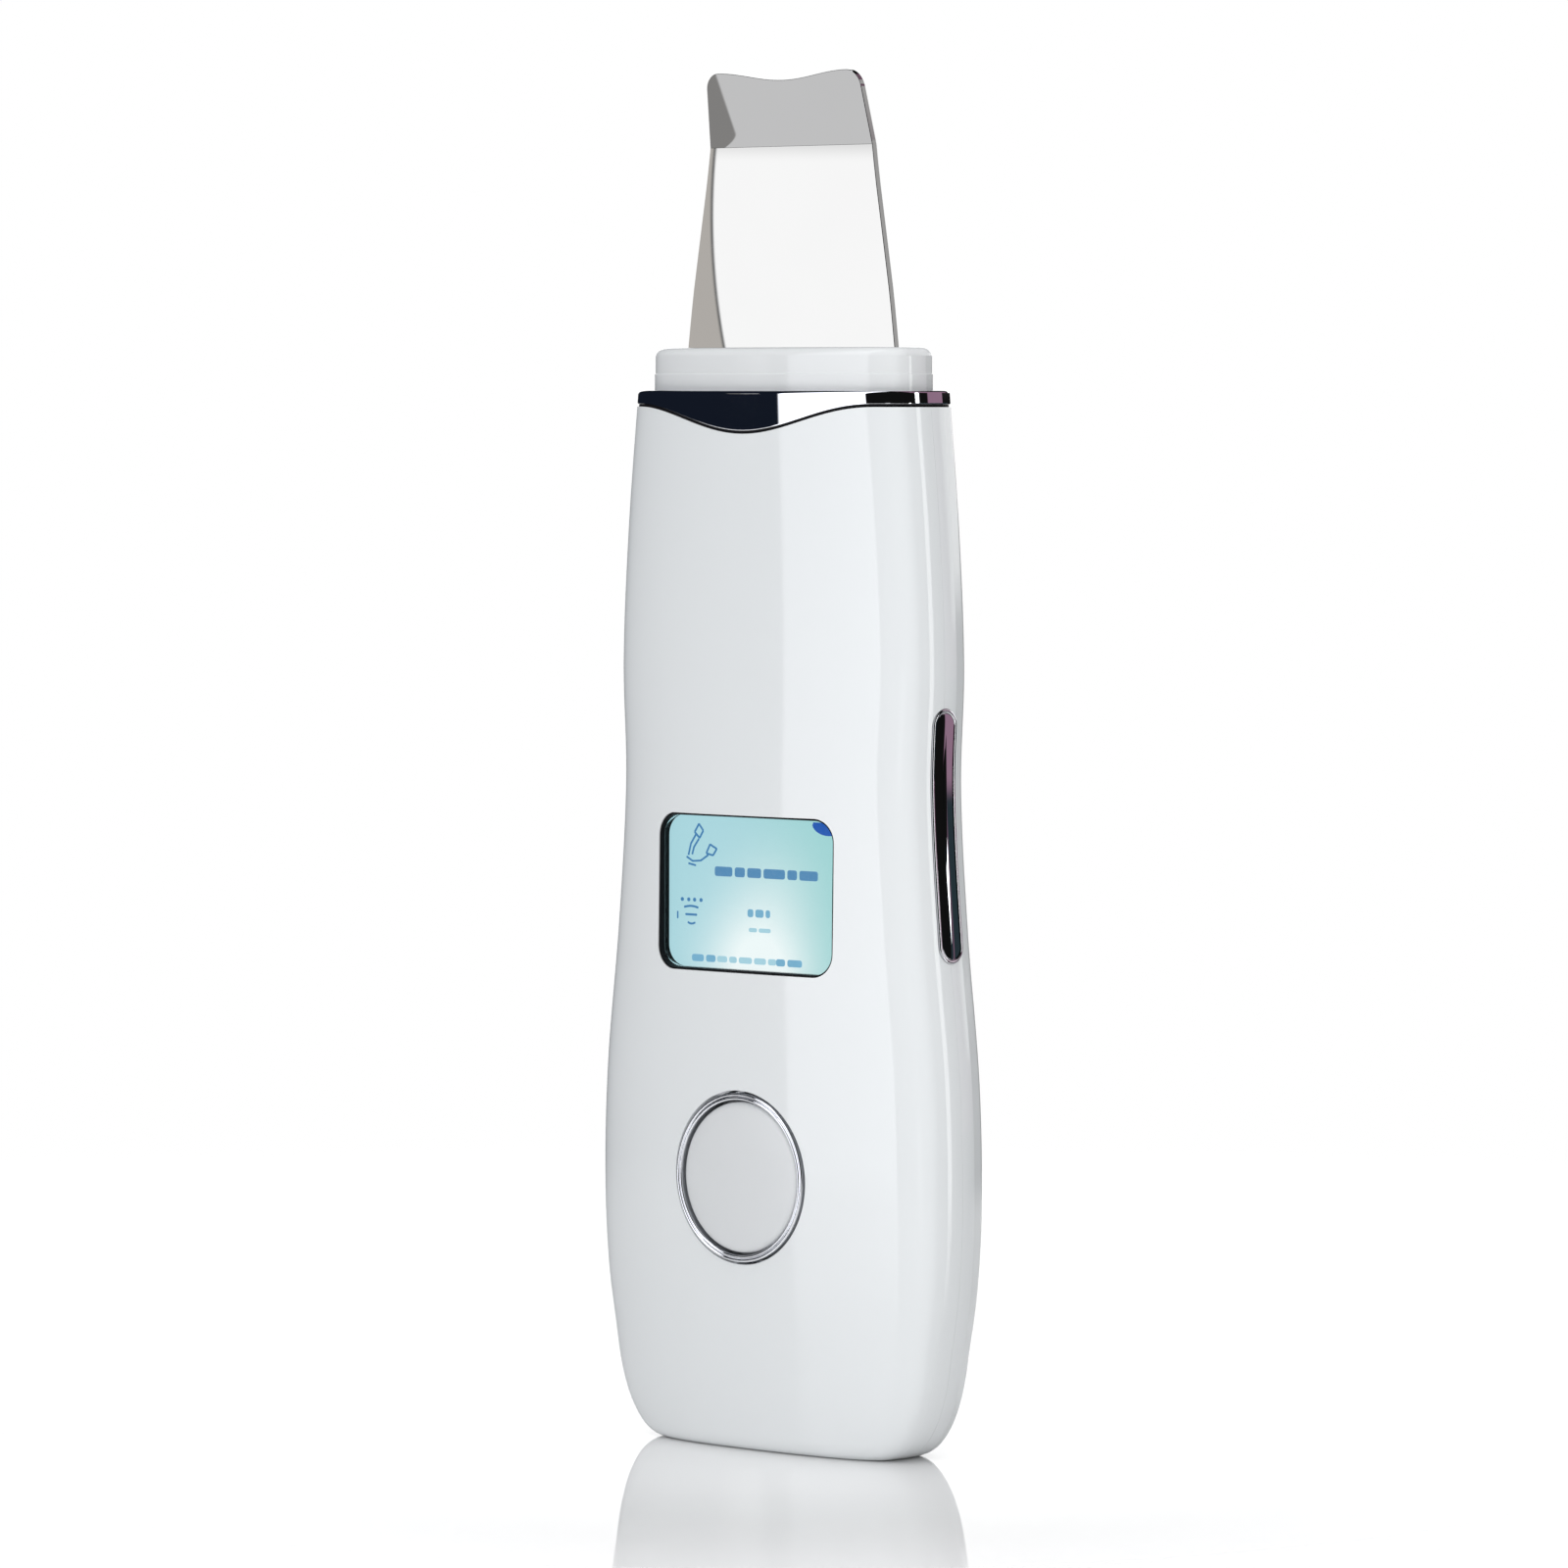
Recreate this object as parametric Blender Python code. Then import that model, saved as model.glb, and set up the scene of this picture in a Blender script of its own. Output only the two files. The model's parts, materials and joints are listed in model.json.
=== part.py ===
"""Skin scrubber: a hand-held ultrasonic facial spatula, modelled piece by piece as it is assembled.

X is the width, the front faces -Y, and Z runs up the handle to the blade. The origin is the centre of
the flat base. Constants are written in millimetres times MM, so every value the script uses is in metres.
Each object is one real piece, and touching pieces keep CLEARANCE between them.
"""

import math

import bmesh
import bpy
from mathutils import Vector

MM = 0.001
CLEARANCE = 0.3 * MM

# Handle: half-width and half-depth against height in millimetres, and the rounded foot below them
OUTLINE = (
    (0, 24.4), (10, 24.9), (20, 26.4), (30, 26.95), (45, 26.5),
    (62, 24.7), (79.5, 23.5), (94, 23.95), (110, 23.1), (126.5, 21.5),
)
DEPTHS = ((0, 7.4), (10, 8.2), (30, 9.3), (50, 9.25), (66, 9.05), (95, 9.0), (126.5, 8.9))
FOOT_WIDTH, FOOT_HEIGHT = 7.2 * MM, 11.6 * MM
FOOT_EDGE_DEPTH, FOOT_EDGE_HEIGHT = 1.6 * MM, 1.8 * MM
BAND_HALF, BAND_BULGE = 2.9 * MM, 0.3 * MM
FACE_POWER = 2.2
WALL = 1.6 * MM
BODY_TOP = 126.5 * MM
COLUMNS = 20

# Trim ring and collar
TRIM_LOW_EDGE, TRIM_DIP, TRIM_DIP_HALF_WIDTH = 124.9 * MM, 3.2 * MM, 18.7 * MM
TRIM_BEVEL = 0.4 * MM
COLLAR_HALF_WIDTH, COLLAR_HALF_DEPTH, COLLAR_BAND = 19.9 * MM, 7.0 * MM, 2.2 * MM
COLLAR_BOTTOM, COLLAR_ROOF, COLLAR_TOP = 122.6 * MM, 129.2 * MM, 131.6 * MM
COLLAR_EDGE = 1.0 * MM
SLOT_HALF_WIDTH, SLOT_HALF_DEPTH = 17.9 * MM, 1.65 * MM

# Blade: half-width against height in millimetres, from the foot of the tang
BLADE_THICKNESS = 0.8 * MM
BLADE_EDGE = (
    (112.4, 5.4), (124.5, 5.4), (127.3, 16.8), (131.6, 16.6), (137.9, 15.8),
    (144.9, 14.65), (151.8, 13.5), (155.6, 13.0), (165, 12.1),
)
BLADE_CREASE, BLADE_SHOULDER, BLADE_TIP = 155.6 * MM, 162.4 * MM, 164.4 * MM
BLADE_TIP_HOLLOW = 1.0 * MM
BLADE_CORNER = 2.0 * MM
BLADE_LEAN = math.radians(11)
BLADE_SCREW_Z = 118 * MM
TANG_HOLE_RADIUS = 1.3

# Window and display
WINDOW_Z = 66.65 * MM
WINDOW_WIDTH, WINDOW_HEIGHT, WINDOW_RADIUS = 28.0 * MM, 18.7 * MM, 2.8 * MM
WINDOW_RIM = 0.45 * MM

# Button
BUTTON_Z = 32.9 * MM
BEZEL_OUTER = 10.1
BEZEL_PROFILE = (
    (9.3, -6.1), (9.3, -9.2), (9.5, -9.4), (9.9, -9.4), (BEZEL_OUTER, -9.2),
    (BEZEL_OUTER, -6.8), (11.4, -6.8), (11.4, -6.1),
)
CAP_PROFILE = (
    (0, -9.5), (5.0, -9.4), (8.4, -9.15), (9.0, -8.7), (9.0, -5.8), (10.3, -5.8), (10.3, -5.1),
    (7.6, -5.1), (7.6, -7.9), (1.6, -7.9), (1.6, -6.9), (0, -6.9),
)

# Side contacts
STRIP_Z = 74.1 * MM
STRIP_HALF_LENGTH, STRIP_HALF_WIDTH = 15.0 * MM, 2.05 * MM
STRIP_POCKET_DEPTH = 1.3 * MM
STRIP_BEZEL_WIDTH, STRIP_PROUD = 0.45 * MM, 0.15 * MM

# Circuit board faces; parts on it stand off by the clearance
BOARD_FRONT, BOARD_BACK = -2.2 * MM, -1.0 * MM
BOARD_HALF_WIDTH = 16.8
BOARD_LOW, BOARD_HIGH = 4.0, 82.5
FRONT_SIDE = BOARD_FRONT / MM - 0.3
BACK_SIDE = BOARD_BACK / MM + 0.3

# Fasteners, as (x, z) in millimetres
CASE_SCREWS = ((19.8, 24), (-19.8, 24), (17.0, 104), (-17.0, 104))
BOARD_SCREWS = ((13.0, 10), (-13.0, 10), (14.6, 48.6), (-14.6, 48.6))
HEAD_WELL = 2.35 * MM

# Ultrasonic stack on the blade's axis, in millimetres
STACK_RADIUS, HORN_RADIUS, STACK_BORE = 6.0, 6.2, 1.9
HORN_LOW, HORN_HIGH = 100.0, 122.0

# Colour, roughness and metallic of each material
FINISHES = {
    "gloss_white": ((0.86, 0.87, 0.88), 0.12, 0.0),
    "collar_white": ((0.80, 0.81, 0.82), 0.2, 0.0),
    "chrome": ((0.80, 0.81, 0.83), 0.04, 1.0),
    "blade_steel": ((0.74, 0.74, 0.74), 0.08, 1.0),
    "button_grey": ((0.76, 0.77, 0.77), 0.3, 0.0),
    "black_plastic": ((0.02, 0.02, 0.022), 0.3, 0.0),
    "clear_lens": ((0.75, 0.88, 0.90), 0.05, 0.0),
    "display_glass": ((0.45, 0.72, 0.75), 0.15, 0.0),
    "diffuser": ((0.90, 0.92, 0.92), 0.4, 0.0),
    "white_nylon": ((0.82, 0.82, 0.80), 0.5, 0.0),
    "board_green": ((0.03, 0.22, 0.10), 0.4, 0.0),
    "chip_black": ((0.03, 0.03, 0.03), 0.45, 0.0),
    "ferrite": ((0.10, 0.10, 0.11), 0.6, 0.0),
    "copper": ((0.72, 0.40, 0.24), 0.3, 1.0),
    "silicone": ((0.55, 0.57, 0.58), 0.7, 0.0),
    "steel": ((0.55, 0.55, 0.56), 0.3, 1.0),
    "aluminium": ((0.72, 0.73, 0.74), 0.3, 1.0),
    "ceramic": ((0.70, 0.66, 0.55), 0.6, 0.0),
    "battery_foil": ((0.55, 0.57, 0.60), 0.35, 0.6),
    "foam": ((0.20, 0.20, 0.21), 0.9, 0.0),
    "capacitor_sleeve": ((0.05, 0.07, 0.20), 0.35, 0.0),
    "wire_red": ((0.60, 0.03, 0.03), 0.45, 0.0),
    "wire_black": ((0.03, 0.03, 0.03), 0.45, 0.0),
    "polyimide": ((0.65, 0.35, 0.06), 0.35, 0.0),
}


def material(slot):
    found = bpy.data.materials.get(slot)
    if found:
        return found
    colour, roughness, metallic = FINISHES[slot]
    made = bpy.data.materials.new(slot)
    made.use_nodes = True
    shader = made.node_tree.nodes["Principled BSDF"]
    shader.inputs["Base Color"].default_value = (*colour, 1.0)
    shader.inputs["Roughness"].default_value = roughness
    shader.inputs["Metallic"].default_value = metallic
    made.diffuse_color = (*colour, 1.0)
    return made


# ------------------------------------------------------------ curves that define the handle


def smooth_through(points, at):
    """A Catmull-Rom curve through (place, value) points in millimetres, read at a place in metres."""
    place = min(max(at / MM, points[0][0]), points[-1][0])
    last = len(points) - 1
    i = max(j for j in range(last) if points[j][0] <= place)

    def slope(j):
        before, after = points[max(j - 1, 0)], points[min(j + 1, last)]
        return (after[1] - before[1]) / (after[0] - before[0])

    (low, start), (high, end) = points[i], points[i + 1]
    span = high - low
    t = (place - low) / span
    value = (2 * t**3 - 3 * t**2 + 1) * start + (3 * t**2 - 2 * t**3) * end
    value += (t**3 - 2 * t**2 + t) * span * slope(i) + (t**3 - t**2) * span * slope(i + 1)
    return value * MM


def straight_through(points, at):
    """Straight lines through (place, value) points in millimetres, read at a place in metres."""
    place = at / MM
    for (low, start), (high, end) in zip(points, points[1:]):
        if place <= high:
            return (start + (end - start) * max(place - low, 0) / (high - low)) * MM
    return points[-1][1] * MM


def rounding(z, size, height):
    """How far an elliptical corner of the foot draws the outline in at height z."""
    up = min(max(z / height, 0.0), 1.0)
    return size * (1 - math.sqrt(1 - (1 - up) ** 2))


def half_width(z):
    return smooth_through(OUTLINE, z) - rounding(z, FOOT_WIDTH, FOOT_HEIGHT)


def half_depth(z):
    return smooth_through(DEPTHS, z) - rounding(z, FOOT_EDGE_DEPTH, FOOT_EDGE_HEIGHT)


def face_point(turn, width, depth, band):
    """A point (x, depth) on a convex face; turn runs from 0 at the right side to pi at the left."""
    cosine, sine = math.cos(turn), max(math.sin(turn), 0.0)
    power = 2 / FACE_POWER
    return math.copysign(width * abs(cosine) ** power, cosine), band + (depth - band) * sine**power


def skin_point(turn, z, inset=0.0, top=None):
    """A point of the handle's skin, with its height held below top(x)."""
    x, y = face_point(turn, half_width(z) - inset, half_depth(z) - inset, BAND_HALF)
    if top and z > top(x):
        z = top(x)
        x, y = face_point(turn, half_width(z) - inset, half_depth(z) - inset, BAND_HALF)
    return x, y, z


def face_depth(x, z):
    """Depth of the outer face at (x, z), measured from the middle plane."""
    share = min(abs(x) / half_width(z), 1.0) ** FACE_POWER
    return BAND_HALF + (half_depth(z) - BAND_HALF) * (1 - share) ** (1 / FACE_POWER)


def trim_edge(x):
    """Height of the trim ring's lower edge, which dips in a smooth smile at the middle."""
    share = min(abs(x) / TRIM_DIP_HALF_WIDTH, 1.0)
    return TRIM_LOW_EDGE - TRIM_DIP * (1 + math.cos(math.pi * share)) / 2


def shell_top(x):
    return trim_edge(x) - CLEARANCE


def face_turns():
    """The turns of a face's columns, from the left side to the right."""
    return [math.pi * (1 - i / COLUMNS) for i in range(COLUMNS + 1)]


def all_round(point):
    """A closed ring of point(turn, side) over the front face and back over the rear one."""
    front = [point(turn, -1) for turn in face_turns()]
    return front + [point(turn, 1) for turn in reversed(face_turns())]


# ------------------------------------------------------------ mesh helpers


def object_of(name, data, slot, centre=Vector()):
    data.materials.append(material(slot))
    made = bpy.data.objects.new(name, data)
    made.location = centre
    bpy.context.scene.collection.objects.link(made)
    return made


def finished(name, bm, slot, centre=Vector(), smooth_deg=None):
    """Turns a closed bmesh, drawn about the object's centre, into an object with its faces pointing out."""
    bmesh.ops.recalc_face_normals(bm, faces=bm.faces)
    mesh = bpy.data.meshes.new(name)
    bm.to_mesh(mesh)
    bm.free()
    if smooth_deg is not None:
        mesh.shade_smooth()
        mesh.set_sharp_from_angle(angle=math.radians(smooth_deg))
    return object_of(name, mesh, slot, centre)


def join_rows(bm, rows, round_again=False):
    """Quads between neighbouring rows of vertices, and between each row's ends if it goes round."""
    for low, high in zip(rows, rows[1:]):
        for i in range(len(low) if round_again else len(low) - 1):
            j = (i + 1) % len(low)
            bm.faces.new((low[i], low[j], high[j], high[i]))


def loft(name, rings, slot, centre=Vector(), closed=False):
    """Joins rings of equal length. Its ends are capped, or joined to each other when closed."""
    bm = bmesh.new()
    rows = [[bm.verts.new(Vector(p) - centre) for p in ring] for ring in rings]
    join_rows(bm, rows + rows[:1] if closed else rows, round_again=True)
    if not closed:
        bm.faces.new(rows[0])
        bm.faces.new(rows[-1])
    return finished(name, bm, slot, centre, smooth_deg=35)


def box(name, low, high, slot, bevel=0.0):
    """A box between two corners given in millimetres, with its edges bevelled if asked."""
    low, high = Vector(low) * MM, Vector(high) * MM
    bm = bmesh.new()
    bmesh.ops.create_cube(bm, size=1)
    bmesh.ops.scale(bm, vec=high - low, verts=bm.verts)
    if bevel:
        bmesh.ops.bevel(bm, geom=bm.edges, offset=bevel * MM, segments=1, affect="EDGES")
    return finished(name, bm, slot, (low + high) / 2)


def rounded_rectangle(width, height, radius, steps=4):
    """Outline points (u, v) of a rounded rectangle about its centre."""
    points = []
    for quarter in range(4):
        corner = math.pi / 2 * quarter + math.pi / 4
        cu = math.copysign(width / 2 - radius, math.cos(corner))
        cv = math.copysign(height / 2 - radius, math.sin(corner))
        for i in range(steps + 1):
            turn = math.pi / 2 * (quarter + i / steps)
            points.append((cu + radius * math.cos(turn), cv + radius * math.sin(turn)))
    return points


def window_outline(margin):
    """The window's rounded rectangle, grown by a margin."""
    radius = max(WINDOW_RADIUS + margin, 0.6 * MM)
    return rounded_rectangle(WINDOW_WIDTH + 2 * margin, WINDOW_HEIGHT + 2 * margin, radius)


def slab(name, outline, front, back, z, slot):
    """An (x, z) outline about height z, extruded from front to back in millimetres."""
    rings = [[(u, y * MM, z + v) for u, v in outline] for y in (front, back)]
    return loft(name, rings, slot, Vector((0, (front + back) / 2 * MM, z)))


def frame_slab(name, outer, inner, front, back, z, slot):
    """The ring between two (x, z) outlines of equal length, extruded from front to back in millimetres."""
    corners = ((outer, front), (outer, back), (inner, back), (inner, front))
    rings = [[(u, y * MM, z + v) for u, v in outline] for outline, y in corners]
    return loft(name, rings, slot, Vector((0, (front + back) / 2 * MM, z)), closed=True)


def turned(name, profile, slot, centre, axis="Z", segments=24):
    """Turns (radius, height) points in millimetres about an axis; a zero radius closes an end."""
    bm = bmesh.new()

    def place(radius, height, turn):
        u, v, along = radius * MM * math.cos(turn), radius * MM * math.sin(turn), height * MM
        return (u, along, v) if axis == "Y" else (u, v, along)

    rings = []
    for radius, height in profile:
        count = segments if radius > 0 else 1
        turns = [math.tau * i / count for i in range(count)]
        rings.append([bm.verts.new(place(radius, height, turn)) for turn in turns])
    if profile[0][0] > 0:
        rings.append(rings[0])
    for first, second in zip(rings, rings[1:]):
        for i in range(segments):
            j = (i + 1) % segments
            corners = [first[i % len(first)], first[j % len(first)]]
            corners += [second[j % len(second)], second[i % len(second)]]
            bm.faces.new(dict.fromkeys(corners))
    return finished(name, bm, slot, centre, smooth_deg=35)


def rod_y(name, radius, x, z, front, back, slot="white_nylon", segments=16):
    """A plain cylinder along Y at (x, z), with its ends at front and back, all in millimetres."""
    profile = [(0, front), (radius, front), (radius, back), (0, back)]
    return turned(name, profile, slot, Vector((x, 0, z)) * MM, "Y", segments)


def wire(name, slot, route):
    """An insulated lead through a route's points in millimetres."""
    points = [Vector(p) * MM for p in route]
    dense = []
    for i in range(len(points) - 1):
        before, start = points[max(i - 1, 0)], points[i]
        end, after = points[i + 1], points[min(i + 2, len(points) - 1)]
        for step in range(4):
            t = step / 4
            bend = (2 * before - 5 * start + 4 * end - after) * t**2
            bend += (3 * start - before - 3 * end + after) * t**3
            dense.append((2 * start + (end - before) * t + bend) / 2)
    dense.append(points[-1])
    curve = bpy.data.curves.new(name, "CURVE")
    curve.dimensions = "3D"
    curve.bevel_depth = 0.4 * MM
    curve.bevel_resolution = 2
    curve.use_fill_caps = True
    spline = curve.splines.new("POLY")
    spline.points.add(len(dense) - 1)
    for point, place in zip(spline.points, dense):
        point.co = (*(place - points[0]), 1)
    return object_of(name, curve, slot, points[0])


def boolean(target, helper, operation):
    helper.hide_render = True
    helper.display_type = "WIRE"
    modifier = target.modifiers.new(f"{operation.lower()}_{helper.name}", "BOOLEAN")
    modifier.operation = operation
    modifier.object = helper


def cut(target, helper):
    boolean(target, helper, "DIFFERENCE")


def add(target, helper):
    boolean(target, helper, "UNION")


# ------------------------------------------------------------ housing


def body_heights():
    """Rows of the handle: close together round the foot, then even."""
    foot = [FOOT_HEIGHT * (1 - math.cos(math.radians(a))) for a in (0, 9, 22, 36, 52, 70, 90)]
    rows = 14
    return foot + [FOOT_HEIGHT + (BODY_TOP - FOOT_HEIGHT) * i / rows for i in range(1, rows + 1)]


def shell_row(z, side, inset):
    """One row of a half shell, from its left seam round the face to its right seam."""
    row = [skin_point(turn, z, inset, shell_top) for turn in face_turns()]
    seam = [(sign * (row[-1][0] + BAND_BULGE), CLEARANCE / 2, row[-1][2]) for sign in (-1, 1)]
    return [(x, side * y, height) for x, y, height in (seam[0], *row, seam[1])]


def floor_line(floor, side, inset):
    """The line along the seam where a half shell's floor ends."""
    wide = 0.94 * (half_width(floor) - inset)
    steps = COLUMNS + 2
    return [(wide * (2 * i / steps - 1), side * CLEARANCE / 2, floor) for i in range(steps + 1)]


def half_shell(name, side):
    """Half of the housing: an outer and an inner skin, joined along the seam and the top edge."""
    skins = []
    for inset in (0.0, WALL):
        heights = [inset + h * (1 - inset / BODY_TOP) for h in body_heights()]
        skins.append([floor_line(inset, side, inset)] + [shell_row(z, side, inset) for z in heights])
    bm = bmesh.new()
    outer, inner = [[[bm.verts.new(p) for p in row] for row in skin] for skin in skins]
    join_rows(bm, outer)
    join_rows(bm, inner)
    for end in (0, -1):
        join_rows(bm, [outer[end], inner[end]])
        join_rows(bm, [[row[end] for row in outer], [row[end] for row in inner]])
    return finished(name, bm, "gloss_white", smooth_deg=35)


def strip_point(side, z, above, y):
    """A point on a side band, at a height above the band's corner."""
    return side * (half_width(z) + above), y, z


def strip_half_width(z, half_length, half_wide):
    """Half-width at height z of a strip with round ends."""
    past_straight = max(abs(z - STRIP_Z) - (half_length - half_wide), 0.0)
    return math.sqrt(max(half_wide**2 - past_straight**2, 0.0))


def strip_heights(half_length, half_wide):
    """Rows of a strip: close together round its ends."""
    straight = half_length - half_wide
    half = [straight * i / 3 for i in (1, 2, 3)]
    half += [straight + half_wide * math.sin(math.radians(a)) for a in (28, 55, 80)]
    return [STRIP_Z - h for h in reversed(half)] + [STRIP_Z] + [STRIP_Z + h for h in half]


def side_strip(name, side, margin, low, high, crown, slot):
    """A strip that follows the waist, grown by a margin, from low to high above the side band."""
    length, wide = STRIP_HALF_LENGTH + margin, STRIP_HALF_WIDTH + margin
    rings = []
    for z in strip_heights(length, wide):
        y = strip_half_width(z, length, wide)
        ring = [strip_point(side, z, above, across) for above, across in ((low, -y), (high, -y))]
        ring.append(strip_point(side, z, high + crown, 0))
        rings.append(ring + [strip_point(side, z, above, across) for above, across in ((high, y), (low, y))])
    return loft(name, rings, slot, Vector(strip_point(side, STRIP_Z, 0, 0)))


def cut_shared_openings(covers):
    """The charging slot and the pockets of the side contacts, which both covers share along the seam."""
    cutters = [box("charge_cutter", (-4.9, -1.1, -1), (4.9, 2.9, 2.6), "white_nylon")]
    z = STRIP_Z / MM
    for side, label in ((1, "right"), (-1, "left")):
        bottom = BAND_BULGE - STRIP_POCKET_DEPTH
        pocket = side_strip(f"pocket_{label}_cutter", side, CLEARANCE, bottom, 2 * MM, 0, "white_nylon")
        cutters.append(pocket)
        near, far = sorted((side * 18, side * 24))
        cutters.append(box(f"tab_{label}_cutter", (near, -1.1, z - 1.5), (far, 1.1, z + 1.5), "white_nylon"))
    for cover in covers:
        for cutter in cutters:
            cut(cover, cutter)


def front_cover():
    cover = half_shell("front_cover", -1)
    for i, (x, z) in enumerate(CASE_SCREWS, 1):
        wall = 0.85 - face_depth(x * MM, z * MM) / MM
        add(cover, rod_y(f"case_post_{i}", 2.4, x, z, wall, -0.15))
        cut(cover, rod_y(f"case_pilot_{i}", 1.3, x, z, -4.7, 0.5, segments=12))
    for i, (x, z) in enumerate(BOARD_SCREWS, 1):
        wall = 0.85 - face_depth(x * MM, z * MM) / MM
        add(cover, rod_y(f"board_post_{i}", 2.0, x, z, wall, FRONT_SIDE))
        cut(cover, rod_y(f"board_pilot_{i}", 1.2, x, z, -5.4, 0, segments=12))
    cut(cover, slab("window_cutter", window_outline(CLEARANCE), -12, -5, WINDOW_Z, "white_nylon"))
    radius = BEZEL_OUTER + CLEARANCE / MM
    cut(cover, rod_y("button_cutter", radius, 0, BUTTON_Z / MM, -12, -5, segments=36))
    return cover


def rear_cover():
    cover = half_shell("rear_cover", 1)
    for i, (x, z) in enumerate(CASE_SCREWS, 1):
        face = face_depth(x * MM, z * MM) / MM
        seat = face - HEAD_WELL / MM
        add(cover, rod_y(f"rear_post_{i}", 2.8, x, z, 0.15, face - 0.85))
        cut(cover, rod_y(f"head_well_{i}", 2.0, x, z, seat, face + 4))
        cut(cover, rod_y(f"rear_bore_{i}", 1.35, x, z, -0.5, seat + 0.5, segments=12))
    return cover


def trim_ring():
    """Chrome ring on top of the covers, with the smile-shaped lower edge at the front and the back."""
    def outside(z, inset, top=None):
        def point(turn, side):
            x, y, height = skin_point(turn, z, inset, top)
            return x, side * y, height
        return all_round(point)

    def inside(low):
        def point(turn, side):
            wide, deep = COLLAR_HALF_WIDTH + CLEARANCE, COLLAR_HALF_DEPTH + CLEARANCE
            x, y = face_point(turn, wide, deep, COLLAR_BAND)
            return x, side * y, trim_edge(x) if low else BODY_TOP
        return all_round(point)

    rings = [outside(BODY_TOP, 0, trim_edge), outside(BODY_TOP - TRIM_BEVEL, 0)]
    rings += [outside(BODY_TOP, TRIM_BEVEL), inside(low=False), inside(low=True)]
    return loft("trim_ring", rings, "chrome", Vector((0, 0, BODY_TOP)), closed=True)


def collar():
    """The white neck in the trim ring, hollow from below, with the blade's slot in its roof."""
    def ring(inset, z):
        wide, deep, band = COLLAR_HALF_WIDTH - inset, COLLAR_HALF_DEPTH - inset, COLLAR_BAND - inset / 2

        def point(turn, side):
            x, y = face_point(turn, wide, deep, band)
            return x, side * y, z
        return all_round(point)

    rings = [ring(WALL, COLLAR_ROOF), ring(WALL, COLLAR_BOTTOM), ring(0, COLLAR_BOTTOM)]
    for degrees in (0, 45, 90):
        a = math.radians(degrees)
        rings.append(ring(COLLAR_EDGE * (1 - math.cos(a)), COLLAR_TOP - COLLAR_EDGE * (1 - math.sin(a))))
    neck = loft("collar", rings, "collar_white", Vector((0, 0, COLLAR_TOP)))
    wide, deep = SLOT_HALF_WIDTH / MM, SLOT_HALF_DEPTH / MM
    cut(neck, box("blade_slot_cutter", (-wide, -deep, 128), (wide, deep, 133), "white_nylon"))


def blade_seal():
    """Soft gasket between the blade and the collar's slot."""
    outer = (SLOT_HALF_WIDTH - CLEARANCE, SLOT_HALF_DEPTH - CLEARANCE)
    inner = (straight_through(BLADE_EDGE, COLLAR_ROOF) + CLEARANCE, BLADE_THICKNESS / 2 + CLEARANCE)
    low, high = COLLAR_ROOF, COLLAR_TOP - CLEARANCE
    rings = []
    for (wide, deep), z in ((outer, low), (outer, high), (inner, high), (inner, low)):
        rings.append([(wide, deep, z), (-wide, deep, z), (-wide, -deep, z), (wide, -deep, z)])
    loft("blade_seal", rings, "silicone", Vector((0, 0, low)), closed=True)


def case_screws():
    """Self-tapping screws from the rear cover into the front cover's posts, with hexagon sockets."""
    for i, (x, z) in enumerate(CASE_SCREWS, 1):
        face = face_depth(x * MM, z * MM) / MM
        seat = face - HEAD_WELL / MM + 0.3
        top = seat + 1.2
        profile = [(0, -4.3), (0.6, -4.3), (1.0, -3.6), (1.0, seat), (1.6, seat), (1.6, top), (0, top)]
        screw = turned(f"case_screw_{i}", profile, "steel", Vector((x, 0, z)) * MM, "Y", 14)
        cut(screw, rod_y(f"socket_{i}_cutter", 0.8, x, z, seat + 0.6, seat + 2, segments=6))


# ------------------------------------------------------------ blade and ultrasonic stack


def blade_columns():
    """(x share, tip height) of each column, from the right edge inwards: round corner, then hollow tip."""
    tip_half = straight_through(BLADE_EDGE, BLADE_SHOULDER)
    columns = []
    for degrees in (0, 30, 60, 90):
        a = math.radians(degrees)
        inward = BLADE_CORNER * (1 - math.cos(a))
        columns.append((1 - inward / tip_half, BLADE_SHOULDER + BLADE_CORNER * math.sin(a)))
    flat = columns[-1][0]
    for i in (1, 2, 3, 4):
        share = 1 - i / 4
        dip = BLADE_TIP_HOLLOW * (1 + math.cos(math.pi * share)) / 2
        columns.append((flat * share, BLADE_TIP - dip))
    return columns


def blade():
    """Polished sheet-steel spatula: a tang for the horn, wide shoulders, and a tip bent at a soft crease."""
    half = blade_columns()
    columns = half + [(-share, tip) for share, tip in reversed(half[:-1])]
    levels = [place * MM for place, _ in BLADE_EDGE[:-1]]

    def skin(offset):
        def point(share, z):
            lean = max(z - BLADE_CREASE, 0.0) * math.tan(BLADE_LEAN)
            wide = straight_through(BLADE_EDGE, min(z, BLADE_SHOULDER))
            return share * wide, offset - lean, z

        rows = [[point(share, z) for share, _ in columns] for z in levels]
        for part in (1 / 3, 2 / 3, 1):
            rows.append([point(share, BLADE_CREASE + part * (tip - BLADE_CREASE)) for share, tip in columns])
        return rows

    bm = bmesh.new()
    centre = Vector((0, 0, COLLAR_TOP))
    skins = [skin(-BLADE_THICKNESS / 2), skin(BLADE_THICKNESS / 2)]
    front, back = [[[bm.verts.new(Vector(p) - centre) for p in row] for row in rows] for rows in skins]
    join_rows(bm, front)
    join_rows(bm, back)
    for end in (0, -1):
        join_rows(bm, [front[end], back[end]])
        join_rows(bm, [[row[end] for row in front], [row[end] for row in back]])
    sheet = finished("blade", bm, "blade_steel", centre, smooth_deg=35)
    cut(sheet, rod_y("tang_hole_cutter", TANG_HOLE_RADIUS, 0, BLADE_SCREW_Z / MM, -2, 2, segments=12))


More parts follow.
